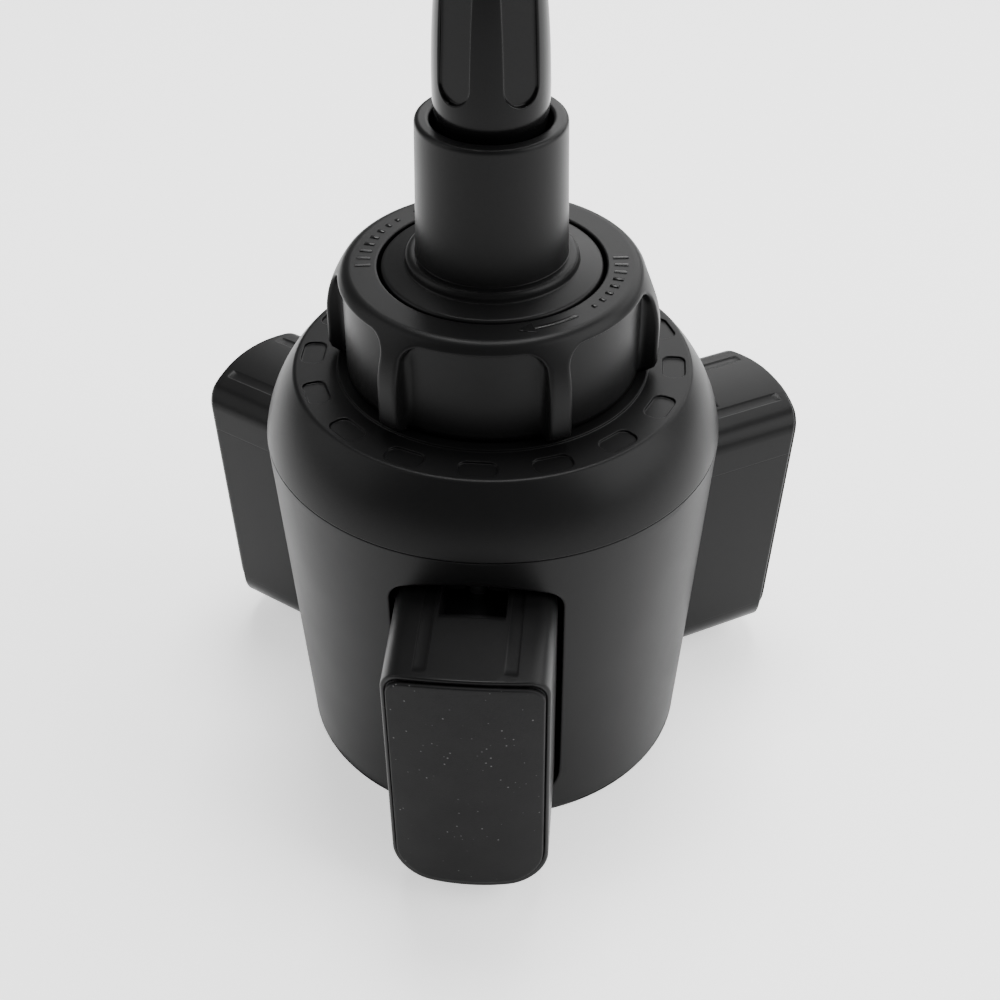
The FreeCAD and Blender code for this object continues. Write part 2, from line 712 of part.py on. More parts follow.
def cam_disc():
    """The scroll disc: three spiral slots push the follower pins in and out."""
    body = new_body("cam_blank")
    radius = pin_open + slot_half_width + size.cam_rim
    blank = circles(body, "cam_round", "XY_Plane", [(0.0, 0.0, radius)], cam_low)
    pad(body, "cam", blank, size.cam_thick)
    centre = circles(body, "cam_centre", "XY_Plane",
                     [(0.0, 0.0, size.post_radius + size.run_gap)], cam_low)
    pocket(body, "cam_hole", centre, size.cam_thick, reverse=True)
    for index, turn in enumerate(knob_screw_turns()):
        x_place, y_place = along(turn, size.knob_screw_circle)
        hole = circles(body, "cam_screw_" + str(index), "XY_Plane",
                       [(x_place, y_place, shank_hole)], cam_low)
        pocket(body, "cam_screw_hole_" + str(index), hole, size.cam_thick, reverse=True)
        sink = circles(body, "cam_sink_" + str(index), "XY_Plane",
                       [(x_place, y_place, size.head_radius + size.fit_gap)], cam_low)
        pocket(body, "cam_sink_cut_" + str(index), sink, size.head_height, reverse=True)
    cutters = [
        spiral_slot("spiral_" + name, turn - 90) for name, turn in jaw_turns.items()]
    slots = doc.addObject("Part::Compound", "spirals")
    slots.Links = cutters
    return boolean("Cut", "cam_disc", body, slots)


def knob_screw_turns():
    """Return the angles of the knob screws, midway between two turns of the spiral."""
    return [turn - 90 - 90 / JAW_COUNT for turn in jaw_turns.values()]


def thrust_washer():
    """The ring between the scroll disc and the underside of the shoulder cap."""
    body = new_body("thrust_washer")
    inner = drum_hole
    ring = circles(body, "washer_round", "XY_Plane",
                   [(0.0, 0.0, inner + size.washer_width), (0.0, 0.0, inner)], cam_top)
    pad(body, "washer", ring, size.washer_thick)
    return body


def shoulder_cap():
    """The rounded cap over the cup, with the flat ring of sunk marks round the knob."""
    body = new_body("shoulder_cap")
    rise = ring_height - seam_height
    shrink = size.seam_radius - size.ring_radius
    bend = size.shoulder_bend
    chord = root(rise * rise + shrink * shrink)
    reach = root(bend * bend - chord * chord / 4)
    centre_x = (size.seam_radius + size.ring_radius) / 2 - reach * rise / chord
    centre_z = (seam_height + ring_height) / 2 - reach * shrink / chord
    inner_bend = bend - size.shell_wall
    ceiling = ring_height - size.shell_wall
    top_rise = ceiling - centre_z
    inner_x = centre_x + root(inner_bend * inner_bend - top_rise * top_rise)
    low_rise = seam_height - centre_z
    inner_seam = centre_x + root(inner_bend * inner_bend - low_rise * low_rise)
    lap_outer = size.seam_radius - size.shell_wall / 2 - size.fit_gap
    lap_low = seam_height - size.lap_height + size.fit_gap
    skirt_low = washer_top + size.run_gap
    skirt_outer = drum_hole + size.washer_width
    profile = outline(body, "cap_side", "XZ_Plane", [
        (size.seam_radius, seam_height),
        (size.ring_radius, ring_height),
        (size.land_radius, ring_height),
        (size.land_radius, land_height),
        (drum_hole, land_height),
        (drum_hole, skirt_low),
        (skirt_outer, skirt_low),
        (skirt_outer, ceiling),
        (inner_x, ceiling),
        (inner_seam, seam_height),
        (inner_seam, lap_low),
        (lap_outer, lap_low),
        (lap_outer, seam_height),
    ], arcs={0: bend, 8: 0 - inner_bend})
    turned = revolve(body, "cap_turned", profile)
    fillet(
        body, "ring_rounding", turned, size.ring_edge,
        lambda edge: abs(edge.BoundBox.ZMin - number(ring_height)) < 0.01
        and abs(edge.BoundBox.XMax - number(size.ring_radius)) < 0.01)
    mark_low = 0 - size.mark_outer
    mark_high = 0 - size.mark_inner
    corner = size.mark_corner
    half = size.mark_half_width
    mark = outline(body, "mark_edge", "XY_Plane", [
        (corner - half, mark_low),
        (half - corner, mark_low),
        (half, mark_low + corner),
        (half, mark_high - corner),
        (half - corner, mark_high),
        (corner - half, mark_high),
        (0 - half, mark_high - corner),
        (0 - half, mark_low + corner),
    ], arcs={1: corner, 3: corner, 5: corner, 7: corner}, height=ring_height)
    cut = pocket(body, "mark", mark, size.mark_depth)
    polar(body, "marks", [cut], CAP_MARKS)
    return body


def knob():
    """The turning grip: a crowned drum with ribs and finger recesses between them."""
    body = new_body("knob_blank")
    hub_bore = size.post_radius + size.run_gap
    web_low = cup_floor - size.web_thick
    drum_inner = size.drum_radius - size.drum_wall
    belly_rise = size.rib_crown_rise
    belly_shrink = size.rib_radius - size.knob_top_radius
    belly = (belly_rise * belly_rise + belly_shrink * belly_shrink) / (2 * belly_shrink)
    under_rise = size.rib_under_rise
    under_shrink = size.rib_radius - size.rib_under_radius
    under = (under_rise * under_rise + under_shrink * under_shrink) / (2 * under_shrink)
    profile = outline(body, "knob_side", "XZ_Plane", [
        (hub_bore, cam_top),
        (hub_bore + size.hub_wall, cam_top),
        (hub_bore + size.hub_wall, web_low),
        (drum_inner, web_low),
        (drum_inner, cam_top),
        (size.drum_radius, cam_top),
        (size.drum_radius, knob_low),
        (size.rib_under_radius, knob_low),
        (size.rib_radius, rib_low_height),
        (size.rib_radius, rib_belly_height),
        (size.knob_top_radius, knob_top),
        (size.cup_radius, knob_top),
        (size.cup_radius, cup_floor),
        (hub_bore, cup_floor),
    ], arcs={7: under, 9: belly})
    revolve(body, "knob_turned", profile)
    rest_turn = size.rib_turn - 180 / KNOB_RIBS
    boss_turn = knob_screw_turns()[0] - rest_turn
    x_place, y_place = along(boss_turn, size.knob_screw_circle)
    boss = circles(body, "boss_round", "XY_Plane", [(x_place, y_place, size.knob_boss_radius)], cam_top)
    boss_pad = pad(body, "boss", boss, web_low - cam_top)
    polar(body, "bosses", [boss_pad], JAW_COUNT)
    bore = circles(body, "bore_round", "XY_Plane", [(x_place, y_place, shank_hole)], cam_top)
    bore_cut = pocket(body, "bore", bore, size.screw_length, reverse=True)
    polar(body, "bores", [bore_cut], JAW_COUNT)
    doc.recompute()
    fillet(
        body, "top_rounding", body.Tip, size.knob_top_edge,
        lambda edge: abs(edge.BoundBox.ZMin - number(knob_top)) < 0.01
        and abs(edge.BoundBox.XMax - number(size.knob_top_radius)) < 0.01)
    scoops = doc.addObject("Part::Compound", "scoops")
    scoops.Links = [scoop(index) for index in range(KNOB_RIBS)]
    finished = boolean("Cut", "knob", body, scoops)
    finished.setExpression("Placement.Rotation.Angle", wording(rest_turn))
    return finished


def scoop(index):
    """The space of one finger recess, with its two upper corners rounded."""
    body = new_body("scoop_" + str(index))
    outer = size.rib_radius + size.cutter_skin
    side = outline(body, "scoop_side", "XZ_Plane", [
        (size.scoop_radius, knob_low - size.cutter_skin),
        (outer, knob_low - size.cutter_skin),
        (outer, scoop_top),
        (size.scoop_radius, scoop_top),
    ])
    swept = body.newObject("PartDesign::Revolution", "scoop_swept")
    swept.Profile = side
    swept.ReferenceAxis = (side, ["V_Axis"])
    swept.Midplane = True
    bind(swept, "Angle", 360 / KNOB_RIBS - size.rib_angle)
    corners = fillet(body, "scoop_corners", swept, size.scoop_corner, is_scoop_corner)
    fillet(body, "scoop_foot_rounding", corners, size.scoop_foot, is_scoop_foot)
    turn_about_axis(body, 360 / KNOB_RIBS * index - 90)
    return body


def is_scoop_corner(edge):
    """Tell whether an edge is one of the two upper corners of a finger recess."""
    box = edge.BoundBox
    flat = box.ZLength < 0.01 and abs(box.ZMin - number(scoop_top)) < 0.01
    ends = [math.hypot(point.X, point.Y) for point in (edge.Vertexes[0], edge.Vertexes[-1])]
    return flat and abs(ends[0] - ends[1]) > 0.1


def is_scoop_foot(edge):
    """Tell whether an edge runs along the foot of the walls of a finger recess."""
    if edge.BoundBox.ZMax < number(knob_low):
        return False
    return all(
        abs(math.hypot(point.x, point.y) - number(size.scoop_radius)) < 0.01
        for point in edge.discretize(5))


def collar():
    """The part that stands still in the knob: disc, flared foot and tube."""
    body = new_body("collar")
    disc_radius = size.cup_radius - size.collar_groove
    slope_top = knob_top + size.disc_slope
    step_top = slope_top + size.step_height
    disc_low = knob_top - size.disc_thick
    socket_radius = size.spigot_radius + size.fit_gap
    step_width = size.step_radius - size.collar_low_radius
    step_bend = (size.step_height * size.step_height + step_width * step_width) / (2 * step_width)
    profile = outline(body, "collar_side", "XZ_Plane", [
        (socket_radius, collar_low),
        (size.hub_radius, collar_low),
        (size.hub_radius, disc_low),
        (disc_radius, disc_low),
        (disc_radius, knob_top),
        (size.step_radius, slope_top),
        (size.collar_low_radius, step_top),
        (size.collar_top_radius, collar_top),
        (size.mouth_radius + size.mouth_chamfer, collar_top),
        (size.mouth_radius, collar_top - size.mouth_chamfer),
        (size.mouth_radius, mouth_floor),
        (shank_hole, mouth_floor),
        (shank_hole, socket_top),
        (socket_radius, socket_top),
    ], arcs={5: step_bend})
    turned = revolve(body, "collar_turned", profile)
    fillet(
        body, "rim_rounding", turned, size.collar_edge,
        lambda edge: abs(edge.BoundBox.ZMin - number(collar_top)) < 0.01
        and abs(edge.BoundBox.XMax - number(size.collar_top_radius)) < 0.01)
    return body


def centre_post():
    """The fixed shaft from the base plate to the collar, on which the knob turns."""
    body = new_body("centre_post")
    foot_top = size.base_thick + size.post_foot_thick
    profile = outline(body, "post_side", "XZ_Plane", [
        (0.0, size.base_thick),
        (size.post_foot_radius, size.base_thick),
        (size.post_foot_radius, foot_top),
        (size.post_radius, foot_top + size.post_foot_radius - size.post_radius),
        (size.post_radius, collar_low),
        (size.spigot_radius, collar_low),
        (size.spigot_radius, spigot_top),
        (0.0, spigot_top),
    ])
    revolve(body, "post_turned", profile)
    low = circles(body, "post_low_round", "XY_Plane",
                  post_screw_rounds(shank_hole), size.base_thick)
    pocket(body, "post_low_bores", low, size.screw_length, reverse=True)
    high = circles(body, "post_high_round", "XY_Plane", [(0.0, 0.0, shank_hole)], spigot_top)
    pocket(body, "post_high_bore", high, size.screw_length)
    return body


def neck():
    """The lower end of the arm: a plug in the collar and a fluted stem above it."""
    body = new_body("neck")
    plug_low = mouth_floor + size.head_height + size.run_gap
    plug_top = plug_low + size.neck_plug_length
    plug_radius = size.mouth_radius - size.fit_gap / 2
    belly_grow = size.neck_belly_radius - size.neck_throat_radius
    belly_rise = size.neck_belly_rise
    low_bend = (belly_rise * belly_rise + belly_grow * belly_grow) / (2 * belly_grow)
    stem_rise = size.neck_stem_rise
    stem_shrink = size.neck_belly_radius - size.neck_upper_radius
    high_bend = (stem_rise * stem_rise + stem_shrink * stem_shrink) / (2 * stem_shrink)
    arm_top = arm_pin_height + size.arm_pin_length
    shoulder_radius = size.arm_pin_radius + size.arm_shoulder
    profile = outline(body, "neck_side", "XZ_Plane", [
        (0.0, plug_low),
        (plug_radius, plug_low),
        (plug_radius, plug_top),
        (size.neck_throat_radius, plug_top + size.neck_plug_slope),
        (size.neck_throat_radius, neck_throat_height),
        (size.neck_belly_radius, neck_belly_height),
        (size.neck_upper_radius, neck_upper_height),
        (shoulder_radius, arm_pin_height),
        (size.arm_pin_radius, arm_pin_height),
        (size.arm_pin_radius, arm_top),
        (0.0, arm_top),
    ], arcs={4: low_bend, 5: high_bend})
    revolve(body, "neck_turned", profile)
    half = size.flute_half_width
    flute_low = neck_belly_height + size.flute_rise
    flute_top = arm_pin_height - size.flute_end - flute_low
    flute = outline(body, "flute_edge", "XZ_Plane", [
        (0 - half, half),
        (half, half),
        (half, flute_top),
        (0 - half, flute_top),
    ], arcs={0: half + size.arc_play})
    flute.AttachmentOffset = FreeCAD.Placement(
        FreeCAD.Vector(0, 0, 0), FreeCAD.Rotation(FreeCAD.Vector(-1, 0, 0), 1))
    lean = "atan(" + wording(stem_shrink / stem_rise) + ")"
    flute.setExpression("AttachmentOffset.Rotation.Angle", lean)
    flute.setExpression("AttachmentOffset.Base.y", wording(flute_low))
    flute.setExpression(
        "AttachmentOffset.Base.z", wording(size.neck_belly_radius - size.flute_depth))
    cut = pocket(body, "flute", flute, size.cutter_run, reverse=True)
    polar(body, "flutes", [cut], NECK_FLUTES)
    body.setExpression("Placement.Rotation.Angle", wording(size.flute_turn))
    return body


def round_face(name, base, radius, drop):
    """Round the edge of a jaw-shaped solid where it meets its tapered face."""
    doc.recompute()
    rounding = doc.addObject("Part::Fillet", name)
    rounding.Base = base
    rim = [
        (index, number(radius), number(radius))
        for index, edge in enumerate(base.Shape.Edges, start=1)
        if lies_on_cone(edge, size.jaw_travel, drop)]
    if not rim:
        raise ValueError(name + " finds no edge")
    rounding.Edges = rim
    return rounding


def face_cone(name, drop):
    """The cup's tapered surface moved out by the travel and in by drop."""
    cone = doc.addObject("Part::Cone", name)
    bind(cone, "Radius1", size.foot_radius - drop)
    bind(cone, "Radius2", size.seam_radius - drop)
    bind(cone, "Height", seam_height)
    cone.setExpression("Placement.Base.y", wording(0 - size.jaw_travel))
    return cone


def jaw_run(name, shrink, low_shrink, start):
    """The jaw's crowned outline, run outwards from a distance from the axis."""
    body = new_body(name)
    corners, arcs = crowned(
        size.jaw_half_width - shrink,
        size.jaw_low + low_shrink,
        size.jaw_side_height - shrink,
        size.jaw_crown,
        size.jaw_top_corner - shrink / 2,
        size.jaw_low_corner - shrink / 2)
    sketch = outline(body, name + "_edge", "XZ_Plane", corners, arcs, height=start)
    pad(body, name + "_pad", sketch, far_out - start)
    return body


def jaw(side, degrees):
    """One jaw: a hollow block, open to the inside, with the boss for its pin."""
    inner_end = size.jaw_inner_end + size.jaw_travel
    outer = boolean(
        "Common", "outer_" + side,
        jaw_run("run_" + side, 0.0, 0.0, inner_end),
        face_cone("face_" + side, size.jaw_face_drop))
    wall = size.jaw_wall
    hollow = boolean(
        "Common", "hollow_" + side,
        jaw_run("hollow_run_" + side, wall, wall, inner_end - size.cutter_skin),
        face_cone("back_" + side, size.jaw_face_drop + wall))
    rounded = round_face("face_edge_" + side, outer, size.jaw_edge, size.jaw_face_drop)
    box = boolean("Cut", "box_" + side, rounded, hollow)
    boss_low = guide_low - size.run_gap - size.pin_hold - size.boss_floor
    boss = block("boss_" + side, (
        0 - size.boss_half_width, 0 - inner_end - size.boss_length, boss_low,
    ), (
        size.boss_half_width, 0 - inner_end, guide_low - size.run_gap,
    ))
    bossed = boolean("Fuse", "bossed_" + side, box, boss)
    bore = rod("pin_bore_" + side, size.pin_radius + size.pin_play,
               guide_low - size.run_gap - size.pin_hold, guide_low, 0.0, 0 - pin_open)
    notch = block("notch_" + side, (
        0 - size.jaw_notch_half,
        0 - inner_end - size.boss_length - size.jaw_notch_length,
        size.jaw_side_height - wall - size.cutter_skin,
    ), (
        size.jaw_notch_half, 0 - inner_end - size.boss_length, guide_low,
    ))
    cutters = [bore, notch]
    crown_radius = (
        size.jaw_half_width * size.jaw_half_width + size.jaw_crown * size.jaw_crown
    ) / (2 * size.jaw_crown)
    groove_drop = crown_radius - root(
        crown_radius * crown_radius - size.groove_offset * size.groove_offset)
    groove_floor = size.jaw_side_height + size.jaw_crown - groove_drop - size.groove_depth
    face_reach = cup_radius_at(size.jaw_side_height) + size.jaw_travel - size.groove_end
    for index, sign in enumerate((-1, 1)):
        middle = sign * size.groove_offset
        cutters.append(block("groove_" + side + "_" + str(index), (
            middle - size.groove_width / 2, 0 - face_reach, groove_floor,
        ), (
            middle + size.groove_width / 2, size.cutter_skin - inner_end, guide_low,
        )))
    tools = doc.addObject("Part::Compound", "jaw_cuts_" + side)
    tools.Links = cutters
    finished = boolean("Cut", "jaw_" + side, bossed, tools)
    turn_about_axis(finished, degrees)
    return finished


def grip_pad(side, degrees):
    """The rubber pad on the outer face of a jaw, with a rim of the face round it."""
    rim = size.pad_rim
    block_run = jaw_run("pad_run_" + side, rim, 2 * rim, size.jaw_travel)
    solid = boolean(
        "Common", "pad_solid_" + side, block_run,
        face_cone("pad_face_" + side, size.jaw_face_drop - size.pad_thick))
    rounded = round_face(
        "pad_rounding_" + side, solid, size.pad_edge, size.jaw_face_drop - size.pad_thick)
    finished = boolean(
        "Cut", "grip_pad_" + side, rounded,
        face_cone("pad_back_" + side, size.jaw_face_drop))
    turn_about_axis(finished, degrees)
    return finished


def follower_pin(side, degrees):
    """The steel pin of a jaw, through the guide plate into the scroll disc."""
    low = guide_low - size.run_gap - size.pin_hold
    plain = rod("pin_round_" + side, size.pin_radius, low, cam_top - size.run_gap, 0.0, 0 - pin_open)
    finished = doc.addObject("Part::Chamfer", "follower_pin_" + side)
    finished.Label = "follower_pin_" + side
    finished.Base = plain
    doc.recompute()
    chamfer = number(size.pin_chamfer)
    rims = [
        (index, chamfer, chamfer) for index, edge in enumerate(plain.Shape.Edges, start=1)
        if edge.BoundBox.ZLength < 0.01]
    finished.Edges = rims
    turn_about_axis(finished, degrees)
    return finished


pieces = [
    body_shell(),
    base_plate(),
    screw_group("base_screws", tower_turns, size.tower_circle,
                size.head_height + size.head_sink, up=False),
    centre_post(),
    screw_group("post_screws", (0, 180), size.post_screw_offset,
                size.head_height + size.head_sink, up=False),
    guide_plate(),
    screw_group("guide_screws", tower_turns, size.tower_circle, guide_top, up=True),
    cam_disc(),
    thrust_washer(),
    shoulder_cap(),
    knob(),
    screw_group("knob_screws", knob_screw_turns(), size.knob_screw_circle,
                cam_low + size.head_height, up=False),
    collar(),
    screw("collar_screw", 0.0, 0.0, mouth_floor, up=True),
    neck(),
]
for side, degrees in jaw_turns.items():
    pieces.append(jaw(side, degrees))
    pieces.append(grip_pad(side, degrees))
    pieces.append(follower_pin(side, degrees))
doc.recompute()


def check_model():
    """Stop if any object failed or any piece is not a sound solid."""
    for item in doc.Objects:
        if "Invalid" in item.State or "Error" in item.State:
            raise ValueError(item.Name + " failed: " + ", ".join(item.State))
    for piece in pieces:
        shape = piece.Shape
        if shape.isNull() or not shape.isValid() or not shape.Solids:
            raise ValueError(piece.Label + " is not a sound solid")
        print(piece.Label, len(shape.Solids), round(shape.Volume, 1),
              [round(value, 2) for value in (
                  shape.BoundBox.XMin, shape.BoundBox.YMin, shape.BoundBox.ZMin,
                  shape.BoundBox.XMax, shape.BoundBox.YMax, shape.BoundBox.ZMax)])


check_model()
os.makedirs("parts", exist_ok=True)
for piece in pieces:
    if not re.fullmatch("[a-z_]+", piece.Label):
        raise ValueError(piece.Label + " can't name a file")
    piece.Shape.exportStep("parts/" + piece.Label + ".step")
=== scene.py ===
"""The looks of an expanding base that is pushed into the cup holder of a car.

A tapered cup with three sliding jaws carries a ribbed knob, a collar and the lower end
of an arm. All lengths are in metres, and the object stands on its underside.
"""

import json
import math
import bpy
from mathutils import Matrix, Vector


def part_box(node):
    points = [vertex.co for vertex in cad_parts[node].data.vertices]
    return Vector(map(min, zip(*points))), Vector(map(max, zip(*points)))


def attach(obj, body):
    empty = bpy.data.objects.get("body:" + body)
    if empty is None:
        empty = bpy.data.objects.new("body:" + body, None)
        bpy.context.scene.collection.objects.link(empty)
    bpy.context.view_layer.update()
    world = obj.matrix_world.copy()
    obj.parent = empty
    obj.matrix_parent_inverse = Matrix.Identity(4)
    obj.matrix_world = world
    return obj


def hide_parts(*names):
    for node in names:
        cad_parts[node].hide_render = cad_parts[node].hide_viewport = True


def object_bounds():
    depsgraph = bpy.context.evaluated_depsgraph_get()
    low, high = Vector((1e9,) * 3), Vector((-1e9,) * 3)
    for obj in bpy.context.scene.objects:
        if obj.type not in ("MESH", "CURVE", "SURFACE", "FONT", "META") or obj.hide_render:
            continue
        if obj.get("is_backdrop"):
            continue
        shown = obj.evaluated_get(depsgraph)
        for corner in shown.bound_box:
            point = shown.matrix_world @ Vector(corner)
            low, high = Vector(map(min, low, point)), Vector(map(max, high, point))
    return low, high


bl_info = {
    "name": "Expanding Cup Holder Base",
    "version": (1, 0, 0),
    "blender": (4, 5, 0),
    "location": "3D View > Sidebar > Mount Base",
    "description": "Builds the moulded pieces, finishes and studio of an expanding cup holder base",
    "category": "Object",
}

import bmesh
import bpy
from mathutils import Matrix, Vector

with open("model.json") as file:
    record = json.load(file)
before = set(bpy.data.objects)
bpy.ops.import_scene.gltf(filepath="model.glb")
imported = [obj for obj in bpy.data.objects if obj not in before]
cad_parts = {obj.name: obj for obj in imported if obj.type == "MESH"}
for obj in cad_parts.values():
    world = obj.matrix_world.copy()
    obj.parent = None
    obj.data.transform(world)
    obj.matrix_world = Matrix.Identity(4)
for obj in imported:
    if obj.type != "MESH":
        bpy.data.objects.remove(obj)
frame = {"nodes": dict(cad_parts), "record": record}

MM = 0.001
MERGE = 0.002 * MM
JAW_TURNS = {"front": 0.0, "right": math.radians(120), "left": math.radians(240)}
SEAM_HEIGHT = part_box("body_shell")[1].z
LAND_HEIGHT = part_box("shoulder_cap")[1].z
KNOB_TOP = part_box("knob")[1].z
COLLAR_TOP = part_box("collar")[1].z
ARM_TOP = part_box("neck")[1].z


def length(name, description, millimetres):
    """A length that a user may change, given in millimetres."""
    return bpy.props.FloatProperty(
        name=name, description=description, default=millimetres * MM, min=0.0,
        unit="LENGTH", precision=5)


def turn(name, description, degrees):
    """An angle that a user may change, given in degrees."""
    return bpy.props.FloatProperty(
        name=name, description=description, default=math.radians(degrees), subtype="ANGLE")


def factor(name, description, value):
    """A share from none to all that a user may change."""
    return bpy.props.FloatProperty(
        name=name, description=description, default=value, min=0.0, max=1.0, subtype="FACTOR")


def colour(name, description, value):
    """A colour that a user may change."""
    return bpy.props.FloatVectorProperty(
        name=name, description=description, default=value, min=0.0, max=1.0,
        size=3, subtype="COLOR")


class CupSizes(bpy.types.PropertyGroup):
    """Sizes of the tapered cup and of its three windows."""

    seam_radius: length("Seam radius", "Widest radius, at the seam below the shoulder", 35.0)
    foot_radius: length("Foot radius", "Radius where the cup stands", 31.36)
    wall: length("Wall", "Thickness of the wall", 2.0)
    seam_rounding: length("Seam rounding", "Rounding of the upper edge at the seam", 0.22)
    foot_rounding: length("Foot rounding", "Rounding of the edge that the cup stands on", 0.3)
    half_width: length("Window half width", "Half the width of a window", 12.6)
    low: length("Window foot", "Height of the lower edge of a window", 2.9)
    side_height: length("Window side", "Height of a window at its sides", 49.1)
    crown: length("Window crown", "Rise of the upper edge in its middle", 3.3)
    top_corner: length("Upper corner", "Corner radius at the top of a window", 3.5)
    low_corner: length("Lower corner", "Corner radius at the bottom of a window", 7.0)
    rounding: length("Window rounding", "Rounding of the edge of a window", 0.5)


class CapSizes(bpy.types.PropertyGroup):
    """Sizes of the rounded shoulder cap and of its ring of sunk marks."""

    bend: length("Shoulder bend", "Radius of the bend between the seam and the ring", 20.0)
    seam_rounding: length("Seam rounding", "Rounding of the lower edge at the seam", 0.22)
    lip_depth: length("Lip depth", "How far the lip reaches down into the cup", 1.9)
    lip_inset: length("Lip inset", "How far the lip lies inside the seam radius", 1.1)
    inner_rise: length("Inner rise", "Height above the seam where the inside bends in", 3.0)
    ring_radius: length("Ring radius", "Outer radius of the flat ring", 30.1)
    ring_edge: length("Ring edge", "Rounding of the outer edge of the ring", 0.4)
    land_radius: length("Land radius", "Radius of the raised land under the knob", 23.5)
    land_rise: length("Land rise", "Rise of the land above the ring", 0.4)
    land_inset: length("Land inset", "Flat ring between the land and the marks", 0.7)
    opening_radius: length("Opening radius", "Radius of the opening for the knob", 20.3)
    skirt_wall: length("Skirt wall", "Wall of the skirt round the opening", 3.0)
    skirt_rise: length("Skirt rise", "Height of the lower end of the skirt above the seam", 3.7)
    marks: bpy.props.IntProperty(
        name="Marks", description="Number of sunk marks on the ring", default=16, min=3)
    mark_middle: length("Mark middle", "Radius at the middle of a mark", 27.4)
    mark_half_depth: length("Mark half length", "Half the radial length of a mark", 1.7)
    mark_half_width: length("Mark half width", "Half the width of a mark", 2.85)
    mark_corner: length("Mark corner", "Corner radius of a mark", 1.25)
    mark_sink: length("Mark depth", "Depth of a mark", 0.35)


class KnobSizes(bpy.types.PropertyGroup):
    """Sizes of the turning knob, its ribs and finger recesses."""

    ribs: bpy.props.IntProperty(name="Ribs", description="Number of ribs", default=6, min=3)
    rib_turn: turn("Rib turn", "Angle from the front jaw to the first rib", 27.4)
    rib_angle: turn("Rib angle", "Angle taken by a rib", 8.0)
    rib_radius: length("Rib radius", "Radius over the ribs", 24.9)
    under_radius: length("Underside radius", "Radius of the underside of the ribs", 23.3)
    low: length("Underside", "Height of the underside", 68.6)
    rib_low: length("Rib low", "Height where the ribs turn under", 70.5)
    belly: length("Rib belly", "Height where the ribs start to curve in", 75.4)
    top_radius: length("Top radius", "Radius of the top face", 21.6)
    top_edge: length("Top edge", "Width of the rounded edge of the top face", 1.0)
    top_drop: length("Top drop", "Height of the rounded edge of the top face", 0.8)
    scoop_radius: length("Recess radius", "Radius of the finger recesses", 22.0)
    scoop_top: length("Recess top", "Height of the top of the finger recesses", 83.3)
    scoop_corner: length("Recess corner", "Corner radius at the top of a recess", 3.0)
    rounding: length("Rib rounding", "Rounding of the edges of the ribs", 0.6)
    fillet: length("Recess fillet", "Hollow rounding at the foot of a recess wall", 1.1)
    drum_radius: length("Drum radius", "Radius of the drum inside the cap", 20.0)
    cup_radius: length("Hollow radius", "Radius of the hollow in the top", 16.75)
    cup_floor: length("Hollow floor", "Height of the floor of the hollow", 74.6)
    bore: length("Bore", "Radius of the bore for the post", 5.8)
    foot: length("Foot", "Height of the lower end of the drum", 59.8)
    arrow_turn: turn("Arrow turn", "Angle from the front to the tip of the arrow", 15.2)
    arrow_head: turn("Arrow head", "Angle taken by the head of the arrow", 7.2)
    arrow_shaft: turn("Arrow shaft", "Angle taken by the shaft of the arrow", 20.6)
    ticks: bpy.props.IntProperty(
        name="Ticks", description="Number of ticks after an arrow", default=8, min=0)
    tick_turn: turn("Tick turn", "Angle from the front to the first tick", 54.0)
    tick_step: turn("Tick step", "Angle from one tick to the next", 6.2)
    tick_half: turn("Tick half width", "Half the angle taken by a tick", 0.8)
    mark_inner: length("Mark inside", "Inner radius of the raised marks", 17.4)
    mark_outer: length("Mark outside", "Outer radius of the raised marks", 20.2)
    mark_rise: length("Mark rise", "Height of the raised marks", 0.14)


class CollarSizes(bpy.types.PropertyGroup):
    """Sizes of the collar: its disc, step and tube."""

    disc_radius: length("Disc radius", "Radius of the disc in the knob", 16.25)
    disc_thick: length("Disc thickness", "Thickness of the disc", 2.6)
    slope: length("Slope", "Rise of the disc towards its step", 0.7)
    step_radius: length("Step radius", "Radius of the step at the foot of the tube", 12.7)
    step_height: length("Step height", "Height of that step", 1.5)
    foot_radius: length("Tube foot radius", "Radius of the tube at its foot", 11.1)
    rim_radius: length("Tube rim radius", "Radius of the tube at its rim", 10.7)
    rim_edge: length("Rim edge", "Rounding of the outer edge of the rim", 0.7)
    mouth_radius: length("Mouth radius", "Radius of the mouth", 8.5)
    mouth_edge: length("Mouth edge", "Rounding of the edge of the mouth", 0.6)
    mouth_floor: length("Mouth floor", "Height of the floor of the mouth", 91.0)
    hub_radius: length("Hub radius", "Radius of the lower hub", 7.5)
    hub_low: length("Hub low", "Height of the lower end of the hub", 74.9)
    socket_radius: length("Socket radius", "Radius of the socket for the post", 4.3)
    socket_top: length("Socket top", "Height of the top of that socket", 86.0)
    screw_hole: length("Screw hole", "Radius of the hole for the collar screw", 1.4)


